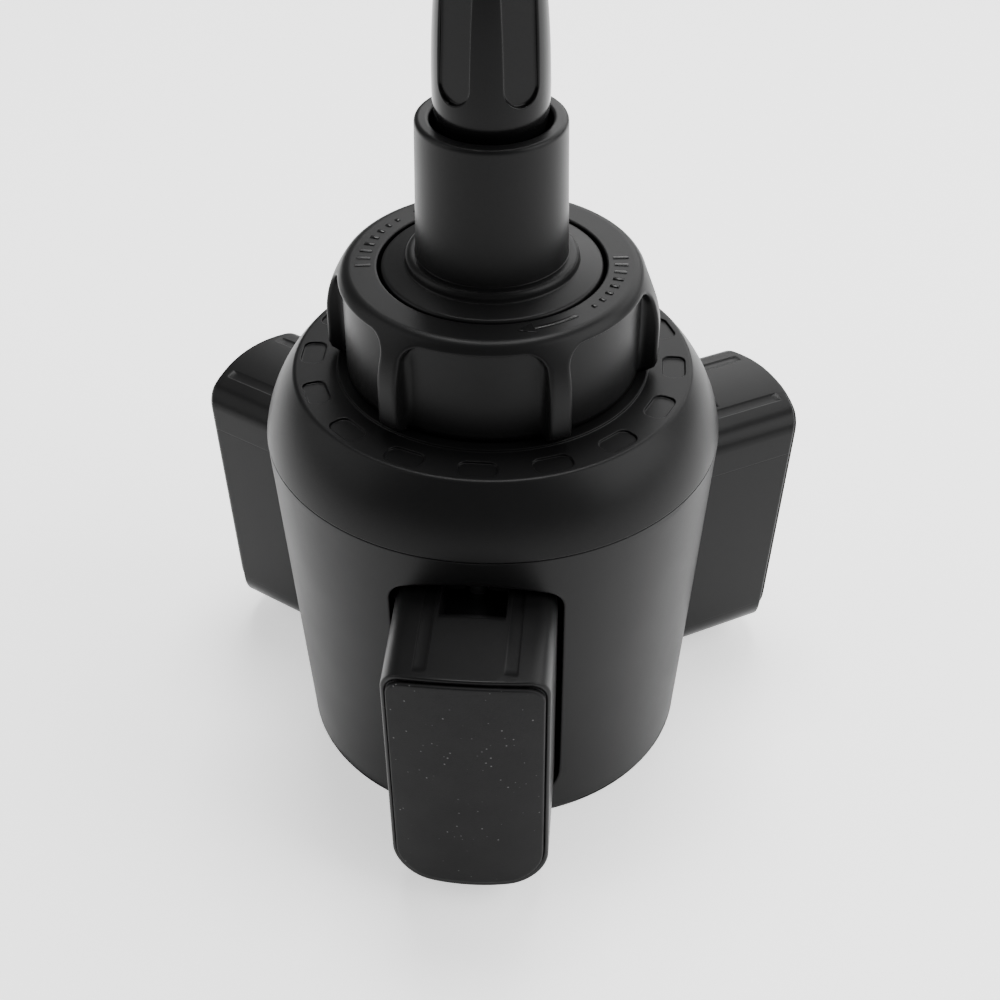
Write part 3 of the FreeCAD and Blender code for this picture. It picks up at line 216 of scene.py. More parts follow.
class ArmSizes(bpy.types.PropertyGroup):
    """Sizes of the lower end of the arm."""

    plug_radius: length("Plug radius", "Radius of the plug in the collar", 8.45)
    plug_low: length("Plug low", "Height of the lower end of the plug", 92.8)
    plug_top: length("Plug top", "Height of the upper end of the plug", 102.8)
    throat_radius: length("Throat radius", "Radius inside the mouth of the collar", 7.5)
    throat_height: length("Throat height", "Height of the throat", 106.0)
    belly_radius: length("Belly radius", "Largest radius above the collar", 8.15)
    belly_height: length("Belly height", "Height of the largest radius", 112.5)
    upper_radius: length("Upper radius", "Radius where the photograph ends", 7.1)
    upper_height: length("Upper height", "Height where the photograph ends", 130.0)
    shoulder_radius: length("Shoulder radius", "Radius under the end spigot", 6.4)
    shoulder_height: length("Shoulder height", "Height where the end spigot starts", 138.0)
    pin_radius: length("Spigot radius", "Radius of the end spigot", 6.0)
    flutes: bpy.props.IntProperty(
        name="Flutes", description="Number of long sunk panels", default=5, min=2)
    flute_turn: turn("Flute turn", "Angle from the front to the first panel", 36.0)
    flute_low: length("Flute low", "Height of the lower end of the panels", 112.4)
    flute_end: length("Flute end", "Height left above the panels", 0.6)
    flute_frame: length("Flute frame", "Height of the round stem below the panels", 1.4)
    flute_half_width: length("Flute half width", "Half the width of a panel", 2.7)
    flute_depth: length("Flute depth", "Depth of a panel at the belly", 0.75)
    rounding: length("Flute rounding", "Rounding of the edges of the panels", 0.25)


class JawSizes(bpy.types.PropertyGroup):
    """Sizes of the sliding jaws and of their grip pads."""

    half_width: length("Half width", "Half the width of a jaw", 11.87)
    low: length("Foot", "Height of the underside of a jaw", 3.8)
    side_height: length("Side height", "Height of the top at its sides", 48.85)
    crown: length("Crown", "Rise of the top in its middle", 1.5)
    top_corner: length("Upper corner", "Corner radius at the top", 3.5)
    low_corner: length("Lower corner", "Corner radius at the bottom", 6.0)
    travel: length("Travel", "How far the open jaw stands out", 17.23)
    inner_end: length("Inner end", "Distance from the axis to the inner end", 25.23)
    face_drop: length("Face drop", "How far the closed face lies inside the cup", 0.2)
    wall: length("Wall", "Wall of a jaw", 1.8)
    rounding: length("Face rounding", "Rounding of the edge of the jaw face", 0.35)
    notch_half: length("Notch half width", "Half the width of the opening in the top", 4.75)
    notch_end: length("Notch end", "Distance from the axis to the end of the opening", 38.03)
    notch_depth: length("Notch depth", "Depth of the opening in the top", 3.2)
    floor_depth: length("Floor depth", "Depth of the hollow in the inner end", 4.0)
    groove_offset: length("Groove offset", "Distance of the top grooves from the middle", 6.3)
    groove_half: length("Groove half width", "Half the width of a top groove", 0.8)
    groove_depth: length("Groove depth", "Depth of a top groove", 0.2)
    groove_end: length("Groove end", "Distance from the axis to the end of the grooves", 49.2)
    pad_rim: length("Pad rim", "Rim of the jaw face left round a pad", 0.8)
    pad_gap: length("Pad gap", "Half the width of the sunk line round a pad", 0.2)
    pad_line: length("Pad line", "Depth of the sunk line round a pad", 0.3)
    top_line: length("Top line", "Height of the upper parting line", 42.0)
    low_line: length("Low line", "Height of the lower parting line", 9.8)
    pad_thick: length("Pad thickness", "Thickness of a grip pad", 0.7)
    pad_rounding: length("Pad rounding", "Rounding of the edge of a grip pad", 0.32)


class Finishes(bpy.types.PropertyGroup):
    """Colours and gloss of the materials."""

    shell: colour("Shell", "Satin plastic of the cup and cap", (0.0036, 0.0036, 0.0037))
    shell_roughness: factor("Shell roughness", "Roughness of the cup and cap", 0.4)
    knob: colour("Knob", "Satin plastic of the knob", (0.0034, 0.0034, 0.0035))
    knob_roughness: factor("Knob roughness", "Roughness of the knob", 0.36)
    collar: colour("Collar", "Satin plastic of the collar", (0.0036, 0.0036, 0.0037))
    collar_roughness: factor("Collar roughness", "Roughness of the collar", 0.34)
    arm: colour("Arm", "Polished plastic of the arm", (0.002, 0.002, 0.0021))
    arm_roughness: factor("Arm roughness", "Roughness of the arm", 0.16)
    jaw: colour("Jaw", "Satin plastic of the jaws", (0.0042, 0.0042, 0.0043))
    jaw_roughness: factor("Jaw roughness", "Roughness of the jaws", 0.32)
    rubber: colour("Rubber", "Matt rubber of the grip pads", (0.0034, 0.0034, 0.0036))
    rubber_roughness: factor("Rubber roughness", "Roughness of the grip pads", 0.6)
    sheen: factor("Sheen", "Strength of the mirror light on the satin plastics", 0.1)
    inner: colour("Inner", "Plain plastic inside", (0.03, 0.03, 0.03))
    steel: colour("Steel", "Ground steel of the pins", (0.55, 0.55, 0.56))
    zinc: colour("Black zinc", "Plating of the screws", (0.04, 0.04, 0.042))


class Studio(bpy.types.PropertyGroup):
    """The camera, lights and floor of the studio."""

    paper: colour("Paper", "Paper of the floor and backdrop", (0.92, 0.92, 0.92))
    surround: factor("Surround", "Brightness of the room around the object", 0.3)
    left_power: bpy.props.FloatProperty(
        name="Left light", description="Power of the light at the left", default=2.4, unit="POWER")
    right_power: bpy.props.FloatProperty(
        name="Right light", description="Power of the light at the right", default=7.0, unit="POWER")
    top_power: bpy.props.FloatProperty(
        name="Top light", description="Power of the light above", default=8.0, unit="POWER")
    back_power: bpy.props.FloatProperty(
        name="Back light", description="Power of the light behind", default=17.0, unit="POWER")
    glow: factor("Paper glow", "Light that shines through the paper from below", 0.85)
    lens: bpy.props.FloatProperty(
        name="Lens", description="Focal length of the camera in millimetres", default=60.95)
    distance: length("Distance", "Level distance of the camera from the axis", 214.1)
    height: length("Height", "Height of the camera", 211.6)
    aside: bpy.props.FloatProperty(
        name="Aside", description="Sideways shift of the camera", default=-0.65 * MM,
        unit="LENGTH", precision=5)
    heading: turn("Heading", "Angle from the front jaw to the camera", 4.83)
    swing: turn("Swing", "Angle by which the camera looks aside", -0.46)
    pitch: turn("Pitch", "Angle by which the camera looks down", 38.62)
    roll: turn("Roll", "Angle by which the camera is tipped", -0.12)


class MountBaseSettings(bpy.types.PropertyGroup):
    """All settings of the base."""

    cup: bpy.props.PointerProperty(type=CupSizes, name="Cup", description="Cup sizes")
    cap: bpy.props.PointerProperty(type=CapSizes, name="Cap", description="Cap sizes")
    knob: bpy.props.PointerProperty(type=KnobSizes, name="Knob", description="Knob sizes")
    collar: bpy.props.PointerProperty(type=CollarSizes, name="Collar", description="Collar sizes")
    arm: bpy.props.PointerProperty(type=ArmSizes, name="Arm", description="Arm sizes")
    jaw: bpy.props.PointerProperty(type=JawSizes, name="Jaw", description="Jaw sizes")
    finish: bpy.props.PointerProperty(type=Finishes, name="Finish", description="Finishes")
    studio: bpy.props.PointerProperty(type=Studio, name="Studio", description="Studio")


class Wire:
    """A socket of a material that can be calculated with."""

    def __init__(self, recipe, socket):
        self.recipe = recipe
        self.socket = socket

    def __add__(self, other):
        return self.recipe.sum("ADD", self, other)

    def __radd__(self, other):
        return self.recipe.sum("ADD", other, self)

    def __sub__(self, other):
        return self.recipe.sum("SUBTRACT", self, other)

    def __rsub__(self, other):
        return self.recipe.sum("SUBTRACT", other, self)

    def __mul__(self, other):
        return self.recipe.sum("MULTIPLY", self, other)

    def __rmul__(self, other):
        return self.recipe.sum("MULTIPLY", other, self)


class Recipe:
    """One material, mixed from nodes."""

    def __init__(self, name):
        self.material = bpy.data.materials.new("finish_" + name)
        self.material.use_nodes = True
        self.tree = self.material.node_tree
        self.shader = self.tree.nodes["Principled BSDF"]
        self.place = self.node("ShaderNodeTexCoord", output="Object")

    def node(self, kind, settings=None, sockets=None, output=0):
        """Add a node with its settings and sockets, and return one of its outputs."""
        item = self.tree.nodes.new(kind)
        for key, value in (settings or {}).items():
            if key == "stops":
                self.set_stops(item.color_ramp, value)
            else:
                setattr(item, key, value)
        for key, value in (sockets or {}).items():
            self.feed(item.inputs[key], value)
        return Wire(self, item.outputs[output])

    def feed(self, socket, value):
        """Link a wire to a socket, or set the socket's own value."""
        if isinstance(value, Wire):
            self.tree.links.new(value.socket, socket)
        else:
            socket.default_value = value

    def set_stops(self, ramp, stops):
        """Give a colour ramp its stops, each a position and a grey."""
        while len(ramp.elements) < len(stops):
            ramp.elements.new(1.0)
        for element, (position, grey) in zip(ramp.elements, stops):
            element.position = position
            element.color = (grey, grey, grey, 1.0)

    def sum(self, operation, first, second):
        """Calculate with two numbers that vary over the surface."""
        return self.node("ShaderNodeMath", {"operation": operation}, {0: first, 1: second})

    def noise(self, cell, detail=2.0, roughness=0.5):
        """Cloudy noise whose cells are about that many metres wide."""
        return self.node("ShaderNodeTexNoise", {}, {
            "Vector": self.place, "Scale": 1.0 / cell, "Detail": detail, "Roughness": roughness})

    def steps(self, value, low, high):
        """A mask that rises from none at low to full at high."""
        return self.node("ShaderNodeMapRange", {"interpolation_type": "SMOOTHSTEP"}, {
            "Value": value, "From Min": low, "From Max": high})

    def tint(self, mask, first, second):
        """Mix two colours by a mask."""
        return self.node("ShaderNodeMix", {"data_type": "RGBA"}, {
            0: mask, 6: (*first, 1.0), 7: (*second, 1.0)}, output=2)

    def bump(self, height, strength, distance):
        """Turn a height into a bent normal."""
        return self.node("ShaderNodeBump", {}, {
            "Height": height, "Strength": strength, "Distance": distance})

    def finish(self, **sockets):
        """Feed the surface shader, and return the material."""
        for key, value in sockets.items():
            self.feed(self.shader.inputs[key.replace("_", " ")], value)
        return self.material


def lighter(base, share):
    """The same colour, brighter by a share."""
    return tuple(min(1.0, channel * (1.0 + share)) for channel in base)


def moulded(name, base, roughness, sheen, lines=()):
    """Satin moulded plastic: fine grain, a faint mottle and thin parting lines.

    lines lists the height of each parting line and how deep it is against the grain.
    """
    recipe = Recipe(name)
    cloud = recipe.noise(9.0 * MM, 3.0)
    fine = recipe.noise(0.16 * MM, 2.0, 0.6)
    relief = fine
    for level, deep in lines:
        height = recipe.node("ShaderNodeSeparateXYZ", {}, {"Vector": recipe.place}, output=2)
        rise = recipe.steps(height, level - 0.12 * MM, level)
        relief = relief - deep * (rise - recipe.steps(height, level, level + 0.12 * MM))
    return recipe.finish(
        Base_Color=recipe.tint(cloud, base, lighter(base, 0.25)),
        Roughness=roughness - 0.05 + 0.07 * cloud + 0.06 * fine,
        Specular_IOR_Level=sheen,
        Normal=recipe.bump(relief, 0.35, 0.012 * MM))


def polished(name, base, roughness, sheen):
    """Polished plastic with a faint unevenness of tone, gloss and surface."""
    recipe = Recipe(name)
    cloud = recipe.noise(6.0 * MM, 3.0)
    wave = recipe.noise(2.4 * MM, 1.0)
    return recipe.finish(
        Base_Color=recipe.tint(cloud, base, lighter(base, 0.2)),
        Roughness=roughness - 0.03 + 0.08 * cloud,
        Specular_IOR_Level=sheen,
        Normal=recipe.bump(wave, 0.12, 0.02 * MM))


def rubbery(name, base, roughness, sheen):
    """Matt rubber with a fine tooth and scattered pale dust."""
    recipe = Recipe(name)
    cloud = recipe.noise(7.0 * MM, 4.0)
    tooth = recipe.noise(0.22 * MM, 3.0, 0.6)
    cells = recipe.node("ShaderNodeTexVoronoi", {"feature": "F1"}, {
        "Vector": recipe.place, "Scale": 1.0 / (1.3 * MM), "Randomness": 1.0})
    dust = 1.0 - recipe.steps(cells, 0.06, 0.13)
    picked = recipe.steps(recipe.noise(2.6 * MM, 1.0), 0.42, 0.55)
    specks = dust * picked
    return recipe.finish(
        Base_Color=recipe.tint(specks * 0.7, base, (0.1, 0.1, 0.1)),
        Roughness=roughness - 0.06 + 0.12 * cloud,
        Specular_IOR_Level=sheen,
        Normal=recipe.bump(tooth, 0.5, 0.03 * MM))


def metallic(name, base, roughness):
    """Turned metal with a fine grain."""
    recipe = Recipe(name)
    fine = recipe.noise(0.3 * MM, 3.0)
    return recipe.finish(
        Base_Color=recipe.tint(fine, base, lighter(base, 0.15)),
        Metallic=1.0,
        Roughness=roughness - 0.05 + 0.12 * fine,
        Normal=recipe.bump(fine, 0.2, 0.01 * MM))


def paper(name, base, glow):
    """Plain paper of a studio floor with a light below it."""
    recipe = Recipe(name)
    cloud = recipe.noise(0.4, 2.0)
    return recipe.finish(
        Base_Color=recipe.tint(cloud, base, lighter(base, 0.01)), Roughness=0.9,
        Emission_Color=(1.0, 1.0, 1.0, 1.0), Emission_Strength=glow)


def material(name):
    """Return a finish that was mixed before."""
    return bpy.data.materials["finish_" + name]


def polar(radius, angle, height):
    """A point at an angle from the front, -Y, towards +X."""
    return Vector((radius * math.sin(angle), -radius * math.cos(angle), height))


def mix(first, second, share):
    """A pair of numbers between two pairs."""
    return tuple(a + (b - a) * share for a, b in zip(first, second))


def bowed(wide, narrow, rise, height):
    """Radius at a height from the widest place of a wall that curves in by a circle."""
    shrink = wide - narrow
    bend = (rise * rise + shrink * shrink) / (2.0 * shrink)
    return wide - bend + math.sqrt(max(bend * bend - height * height, 0.0))


def curve(first, corner, last, steps=6):
    """Points of a profile that bend at a corner, from the first to the last point."""
    points = []
    for share in shares(steps):
        radius, height = mix(mix(first, corner, share), mix(corner, last, share), share)
        points.append((radius, height, 0.0))
    return points


def arc(first, last, bend, steps):
    """Points of a profile on an arc that bulges away from the axis as it rises."""
    first, last = Vector(first), Vector(last)
    chord = last - first
    inwards = Vector((-chord.y, chord.x)).normalized()
    centre = (first + last) / 2.0 + inwards * math.sqrt(bend ** 2 - chord.length_squared / 4.0)
    start = math.atan2(first.y - centre.y, first.x - centre.x)
    sweep = math.atan2(last.y - centre.y, last.x - centre.x) - start
    return [
        (centre.x + bend * math.cos(start + sweep * share),
         centre.y + bend * math.sin(start + sweep * share), 0.0)
        for share in shares(steps)]


def shares(count, start=0):
    """Even shares from start / count up to one."""
    return [index / count for index in range(start, count + 1)]


def fabric(bm, rows):
    """Lay a grid of quads over rows of points."""
    columns = len(rows[0]) - 1
    lines = len(rows) - 1
    grid = bmesh.ops.create_grid(bm, x_segments=columns, y_segments=lines, size=1.0)
    for vert in grid["verts"]:
        column = round((vert.co.x + 1.0) / 2.0 * columns)
        line = round((vert.co.y + 1.0) / 2.0 * lines)
        vert.co = rows[line][column]


def rounded(corners, steps=5):
    """Round the corners of a profile; each corner is radius, height and rounding."""
    points = []
    for index, (radius, height, rounding) in enumerate(corners):
        here = Vector((radius, height))
        if rounding == 0.0 or index in (0, len(corners) - 1):
            points.append(tuple(here))
            continue
        back = (Vector(corners[index - 1][:2]) - here).normalized() * rounding
        onward = (Vector(corners[index + 1][:2]) - here).normalized() * rounding
        points.append(tuple(here + back * 1.2))
        for share in shares(steps):
            points.append(tuple(here + back * (1.0 - share) ** 2 + onward * share ** 2))
        points.append(tuple(here + onward * 1.2))
    return points


def lathe(bm, profile, steps):
    """Turn a profile of radius and height once round the upright axis, from the front."""
    rim = [bm.verts.new(polar(radius, 0.0, height)) for radius, height in profile]
    line = [bm.edges.new(pair) for pair in zip(rim, rim[1:])]
    bmesh.ops.spin(
        bm, geom=rim + line, cent=(0.0, 0.0, 0.0), axis=(0.0, 0.0, 1.0),
        angle=math.tau, steps=steps, use_merge=True, use_duplicate=False)


AROUND_ROWS = 6
LIP_ROWS = 5
FLOOR_ROWS = 9


def recess_rows(frame_line, edge, place, depth, rounding, fillet, hub):
    """Rows of points over a surface to the edge of a recess, down its wall and across its floor.

    frame_line lists where the surface starts. edge(index, grow) gives the outline of the
    recess, place(u, v, drop) puts a point below the surface, depth(u, v) is how deep the
    floor lies, and hub(index) is where the floor closes.
    """
    indices = range(len(frame_line))
    deep = [depth(*edge(index, 0.0)) for index in indices]
    lip = [min(rounding, 0.45 * value) for value in deep]
    foot = [min(fillet, 0.45 * value) for value in deep]
    rows = []
    for share in shares(AROUND_ROWS):
        near = 1.0 - (1.0 - share) ** 1.6
        rows.append([
            place(*mix(frame_line[index], edge(index, rounding * 1.2), near), 0.0)
            for index in indices])
    for share in shares(LIP_ROWS):
        rows.append([
            place(*edge(index, rounding * (1.0 - share) ** 2), lip[index] * share ** 2)
            for index in indices])
    for share in shares(LIP_ROWS):
        row = []
        for index in indices:
            spot = edge(index, -foot[index] * share ** 2)
            row.append(place(*spot, depth(*spot) - foot[index] * (1.0 - share) ** 2))
        rows.append(row)
    for share in shares(FLOOR_ROWS, 1):
        row = []
        for index in indices:
            spot = mix(edge(index, -foot[index]), hub(index), share)
            row.append(place(*spot, depth(*spot)))
        rows.append(row)
    return rows


def seal(bm):
    """Merge what meets, join two rims that are left open, and turn all faces outwards."""
    bmesh.ops.remove_doubles(bm, verts=bm.verts[:], dist=MERGE)
    rims = [edge for edge in bm.edges if edge.is_boundary]
    if rims:
        bmesh.ops.bridge_loops(bm, edges=rims)
    bmesh.ops.recalc_face_normals(bm, faces=bm.faces[:])


def put(bm, name, body, finish, node=None):
    """Finish a mesh as a piece that rides on a body and may stand for a node."""
    for face in bm.faces:
        face.smooth = True
    mesh = bpy.data.meshes.new(name)
    bm.to_mesh(mesh)
    bm.free()
    piece = bpy.data.objects.new(name, mesh)
    bpy.context.scene.collection.objects.link(piece)
    mesh.materials.append(material(finish))
    even = piece.modifiers.new("even_shading", "WEIGHTED_NORMAL")
    even.weight = 60
    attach(piece, body)
    if node:
        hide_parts(node)
    return piece


# Steps along the foot, lower corner, side, upper corner and top of half a crowned outline,
# and along the foot, side and top of half the frame round it. Both have the same sum.
CROWN_STEPS = (12, 12, 24, 12, 15)
FRAME_STEPS = (18, 36, 21)
CROWN_HALF = sum(CROWN_STEPS)
CROWN_COUNT = 2 * CROWN_HALF


class Crowned:
    """The outline of a jaw or window: rounded corners, upright sides and a crowned top."""

    def __init__(self, half_width, low, side_height, crown, top_corner, low_corner, stations=None):
        self.half_width = half_width
        self.low = low
        self.low_corner = low_corner
        self.top_corner = top_corner
        self.radius = (half_width ** 2 + crown ** 2) / (2.0 * crown)
        self.centre = side_height + crown - self.radius
        corner_x = half_width - top_corner
        inner = self.radius - top_corner
        self.corner_z = self.centre + math.sqrt(inner ** 2 - corner_x ** 2)
        self.corner_turn = math.asin(corner_x / inner)
        self.stations = stations or [index / CROWN_STEPS[-1] for index in range(CROWN_STEPS[-1] + 1)]

    def point(self, index, grow=0.0):
        """A point of the outline, counted from the middle of its foot to the right."""
        index %= CROWN_COUNT
        if index > CROWN_HALF:
            x, z = self.point(CROWN_COUNT - index, grow)
            return -x, z
        foot, low_bend, side, top_bend, top = CROWN_STEPS
        flat_x = self.half_width - self.low_corner
        if index <= foot:
            return flat_x * index / foot, self.low - grow
        index -= foot
        if index <= low_bend:
            angle = math.pi / 2 * index / low_bend
            reach = self.low_corner + grow
            return flat_x + reach * math.sin(angle), self.low + self.low_corner - reach * math.cos(angle)
        index -= low_bend
        if index <= side:
            bottom = self.low + self.low_corner
            return self.half_width + grow, bottom + (self.corner_z - bottom) * index / side
        index -= side
        if index <= top_bend:
            angle = (math.pi / 2 - self.corner_turn) * index / top_bend
            reach = self.top_corner + grow
            corner_x = self.half_width - self.top_corner
            return corner_x + reach * math.cos(angle), self.corner_z + reach * math.sin(angle)
        index -= top_bend
        angle = self.corner_turn * self.stations[CROWN_STEPS[-1] - index]
        reach = self.radius + grow
        return reach * math.sin(angle), self.centre + reach * math.cos(angle)


def crowned_frame(half_turn, low, high, skin):
    """The outline of one third of the cup, with as many points as a crowned outline."""
    foot, side, top = FRAME_STEPS
    points = []
    for index in range(CROWN_HALF + 1):
        if index <= foot:
            angle, z = half_turn * index / foot, low
        elif index <= foot + side:
            angle, z = half_turn, low + (high - low) * (index - foot) / side
        else:
            angle, z = half_turn * (CROWN_HALF - index) / top, high
        points.append((skin(z) * math.sin(angle), z))
    mirrored = [(-x, z) for x, z in points[-2:0:-1]]
    return points + mirrored + points[:1]


class MOUNTBASE_OT_cup(bpy.types.Operator):
    """Build the tapered cup with its three crowned windows"""

    bl_idname = "mountbase.cup"
    bl_label = "Cup"

    def execute(self, context):
        sizes = context.scene.mount_base.cup
        foot, seam = self.wall_ends(sizes)
        foot_steps, _, seam_steps = FRAME_STEPS
        bm = bmesh.new()
        for angle in JAW_TURNS.values():
            self.window_sector(bm, sizes, angle)
        lathe(bm, rounded([
            (self.skin(sizes, foot), foot, 0.0),
            (sizes.foot_radius, 0.0, foot * 0.9),
            (sizes.foot_radius - sizes.wall, 0.0, foot),
            (self.skin(sizes, foot) - sizes.wall, foot, 0.0),
        ]), 2 * foot_steps * len(JAW_TURNS))
        lathe(bm, rounded([
            (self.skin(sizes, seam), seam, 0.0),
            (sizes.seam_radius, SEAM_HEIGHT, sizes.seam_rounding),
            (self.skin(sizes, seam) - sizes.wall, seam, 0.0),
        ]), 2 * seam_steps * len(JAW_TURNS))
        seal(bm)
        put(bm, "cup", "base", "shell_plastic", "body_shell")
        return {"FINISHED"}

    @staticmethod
    def wall_ends(sizes):
        """Heights between which the wall is made in three sectors."""
        return sizes.foot_rounding, SEAM_HEIGHT - sizes.seam_rounding * 1.3

    @staticmethod
    def skin(sizes, z):
        """Outer radius of the cup at a height."""
        return sizes.foot_radius + (sizes.seam_radius - sizes.foot_radius) * z / SEAM_HEIGHT

    def window_sector(self, bm, sizes, angle):
        """One third of the wall, from its frame through the window to the inside."""
        spin = Matrix.Rotation(angle, 3, "Z")
        window = Crowned(
            sizes.half_width, sizes.low, sizes.side_height, sizes.crown,
            sizes.top_corner, sizes.low_corner)
        indices = range(CROWN_COUNT + 1)
        half_turn = math.pi / len(JAW_TURNS)
        low, high = self.wall_ends(sizes)
        inner_edge = 0.2 * MM

        def place(x, z, drop):
            radius = self.skin(sizes, z) - drop
            return spin @ Vector((x, -math.sqrt(radius ** 2 - x ** 2), z))

        rows = []
        outside = crowned_frame(half_turn, low, high, lambda z: self.skin(sizes, z))
        for share in shares(12):
            near = 1.0 - (1.0 - share) ** 1.5
            rows.append([
                place(*mix(outside[index], window.point(index, sizes.rounding * 1.2), near), 0.0)
                for index in indices])
        for share in shares(6):
            rows.append([
                place(*window.point(index, sizes.rounding * (1.0 - share) ** 2),
                      sizes.rounding * share ** 2)
                for index in indices])
        for share in shares(4):
            rows.append([
                place(*window.point(index, inner_edge * share ** 2),
                      sizes.wall - inner_edge * (1.0 - share) ** 2)
                for index in indices])
        inside = crowned_frame(half_turn, low, high, lambda z: self.skin(sizes, z) - sizes.wall)
        for share in shares(6, 1):
            rows.append([
                place(*mix(window.point(index, inner_edge), inside[index], share), sizes.wall)
                for index in indices])
        fabric(bm, rows)


class MOUNTBASE_OT_cap(bpy.types.Operator):
    """Build the rounded shoulder cap with its ring of sunk marks"""

    bl_idname = "mountbase.cap"
    bl_label = "Shoulder cap"

    # Steps along the inner edge, corner, side, corner and outer edge of half a mark, and
    # along the inside, side and outside of half the frame round it. Both have the same sum.
    MARK_STEPS = (2, 6, 2, 6, 2)
    FRAME_STEPS = (5, 8, 5)

    def execute(self, context):
        sizes = context.scene.mount_base.cap
        widest = context.scene.mount_base.cup.seam_radius
        wall = context.scene.mount_base.cup.wall
        ring = LAND_HEIGHT - sizes.land_rise
        ring_out = sizes.ring_radius - 1.35 * sizes.ring_edge
        ring_in = sizes.land_radius + sizes.land_inset
        lip_low = SEAM_HEIGHT - sizes.lip_depth
        lip_radius = widest - sizes.lip_inset
        skirt_low = SEAM_HEIGHT + sizes.skirt_rise
        skirt_radius = sizes.opening_radius + sizes.skirt_wall
        steps = sizes.marks * 2 * self.FRAME_STEPS[0]
        bm = bmesh.new()
        for index in range(sizes.marks):
            self.mark_sector(bm, sizes, math.tau * index / sizes.marks, ring, ring_in, ring_out)
        shoulder = arc(
            (widest, SEAM_HEIGHT), (sizes.ring_radius, ring), sizes.bend, 12)
        lathe(bm, rounded([
            (widest - wall, lip_low, 0.0),
            (lip_radius, lip_low, 0.0),
            (lip_radius, SEAM_HEIGHT, 0.0),
            (widest, SEAM_HEIGHT, sizes.seam_rounding),
            *shoulder[1:-1],
            (sizes.ring_radius, ring, sizes.ring_edge),
            (ring_out, ring, 0.0),
        ]), steps)
        lathe(bm, rounded([
            (ring_in, ring, 0.0),
            (sizes.land_radius, ring, 0.2 * MM),
            (sizes.land_radius, LAND_HEIGHT, 0.15 * MM),
            (sizes.opening_radius, LAND_HEIGHT, 0.3 * MM),
            (sizes.opening_radius, skirt_low, 0.0),
            (skirt_radius, skirt_low, 0.0),
            (skirt_radius, ring - wall, 0.0),
            (ring_out - wall, ring - wall, 1.0 * MM),
            (widest - wall, SEAM_HEIGHT + sizes.inner_rise, 1.0 * MM),
            (widest - wall, lip_low, 0.0),
        ]), steps)
        seal(bm)
        put(bm, "shoulder", "base", "cap_plastic", "shoulder_cap")
        return {"FINISHED"}

    def mark_sector(self, bm, sizes, angle, height, ring_in, ring_out):
        """One share of the flat ring with a sunk mark in its middle."""
        spin = Matrix.Rotation(angle, 3, "Z")
        half_turn = math.pi / sizes.marks
        half = sum(self.MARK_STEPS)
        corner = sizes.mark_corner
        flat_u = sizes.mark_half_width - corner
        flat_v = sizes.mark_half_depth - corner

        def edge(index, grow):
            index %= 2 * half
            if index > half:
                u, v = edge(2 * half - index, grow)
                return -u, v
            near, low_bend, side, high_bend, far = self.MARK_STEPS
            reach = corner + grow
            if index <= near:
                return flat_u * index / near, -flat_v - reach
            index -= near
            if index <= low_bend:
                bend = math.pi / 2 * index / low_bend
                return flat_u + reach * math.sin(bend), -flat_v - reach * math.cos(bend)
            index -= low_bend
            if index <= side:
                return flat_u + reach, flat_v * (2.0 * index / side - 1.0)
            index -= side
            if index <= high_bend:
                bend = math.pi / 2 * index / high_bend
                return flat_u + reach * math.cos(bend), flat_v + reach * math.sin(bend)
            index -= high_bend
            return flat_u * (far - index) / far, flat_v + reach

        def around(index):
            if index > half:
                u, v = around(2 * half - index)
                return -u, v
            near, side, far = self.FRAME_STEPS
            if index <= near:
                radius, aside = ring_in, half_turn * index / near
            elif index <= near + side:
                radius, aside = ring_in + (ring_out - ring_in) * (index - near) / side, half_turn
            else:
                radius, aside = ring_out, half_turn * (half - index) / far
            return radius * math.sin(aside), radius * math.cos(aside) - sizes.mark_middle

        def place(u, v, drop):
            return spin @ Vector((u, -(sizes.mark_middle + v), height - drop))

        fabric(bm, recess_rows(
            [around(index) for index in range(2 * half + 1)], edge, place,
            lambda u, v: sizes.mark_sink,
            0.16 * MM, 0.2 * MM, lambda index: (edge(index, -corner)[0], 0.0)))


def arch(index, grow, half, corner, start, end, counts):
    """A point of an arched outline that is open at its start; counts are its steps."""
    side, bend, top = counts
    total = 2 * side + 2 * bend + top
    if index > total / 2:
        u, v = arch(total - index, grow, half, corner, start, end, counts)
        return -u, v
    sign = 1.0 if end > start else -1.0
    middle = end - sign * corner
    if index <= side:
        return -(half + grow), start + (middle - start) * index / side
    index -= side
    if index <= bend:
        angle = math.pi / 2 * index / bend
        reach = corner + grow
        return -(half - corner) - reach * math.cos(angle), middle + sign * reach * math.sin(angle)
    index -= bend
    return (half - corner) * (2.0 * index / top - 1.0), end + sign * grow


def arch_frame(half_turn, start, end, side, top):
    """The frame round an arched outline, as angles and heights; side and top are its steps."""
    points = [(-half_turn, start + (end - start) * share) for share in shares(side)]
    points += [(half_turn * (2.0 * share - 1.0), end) for share in shares(top, 1)]
    return points + [(half_turn, height) for _, height in points[side - 1::-1]]


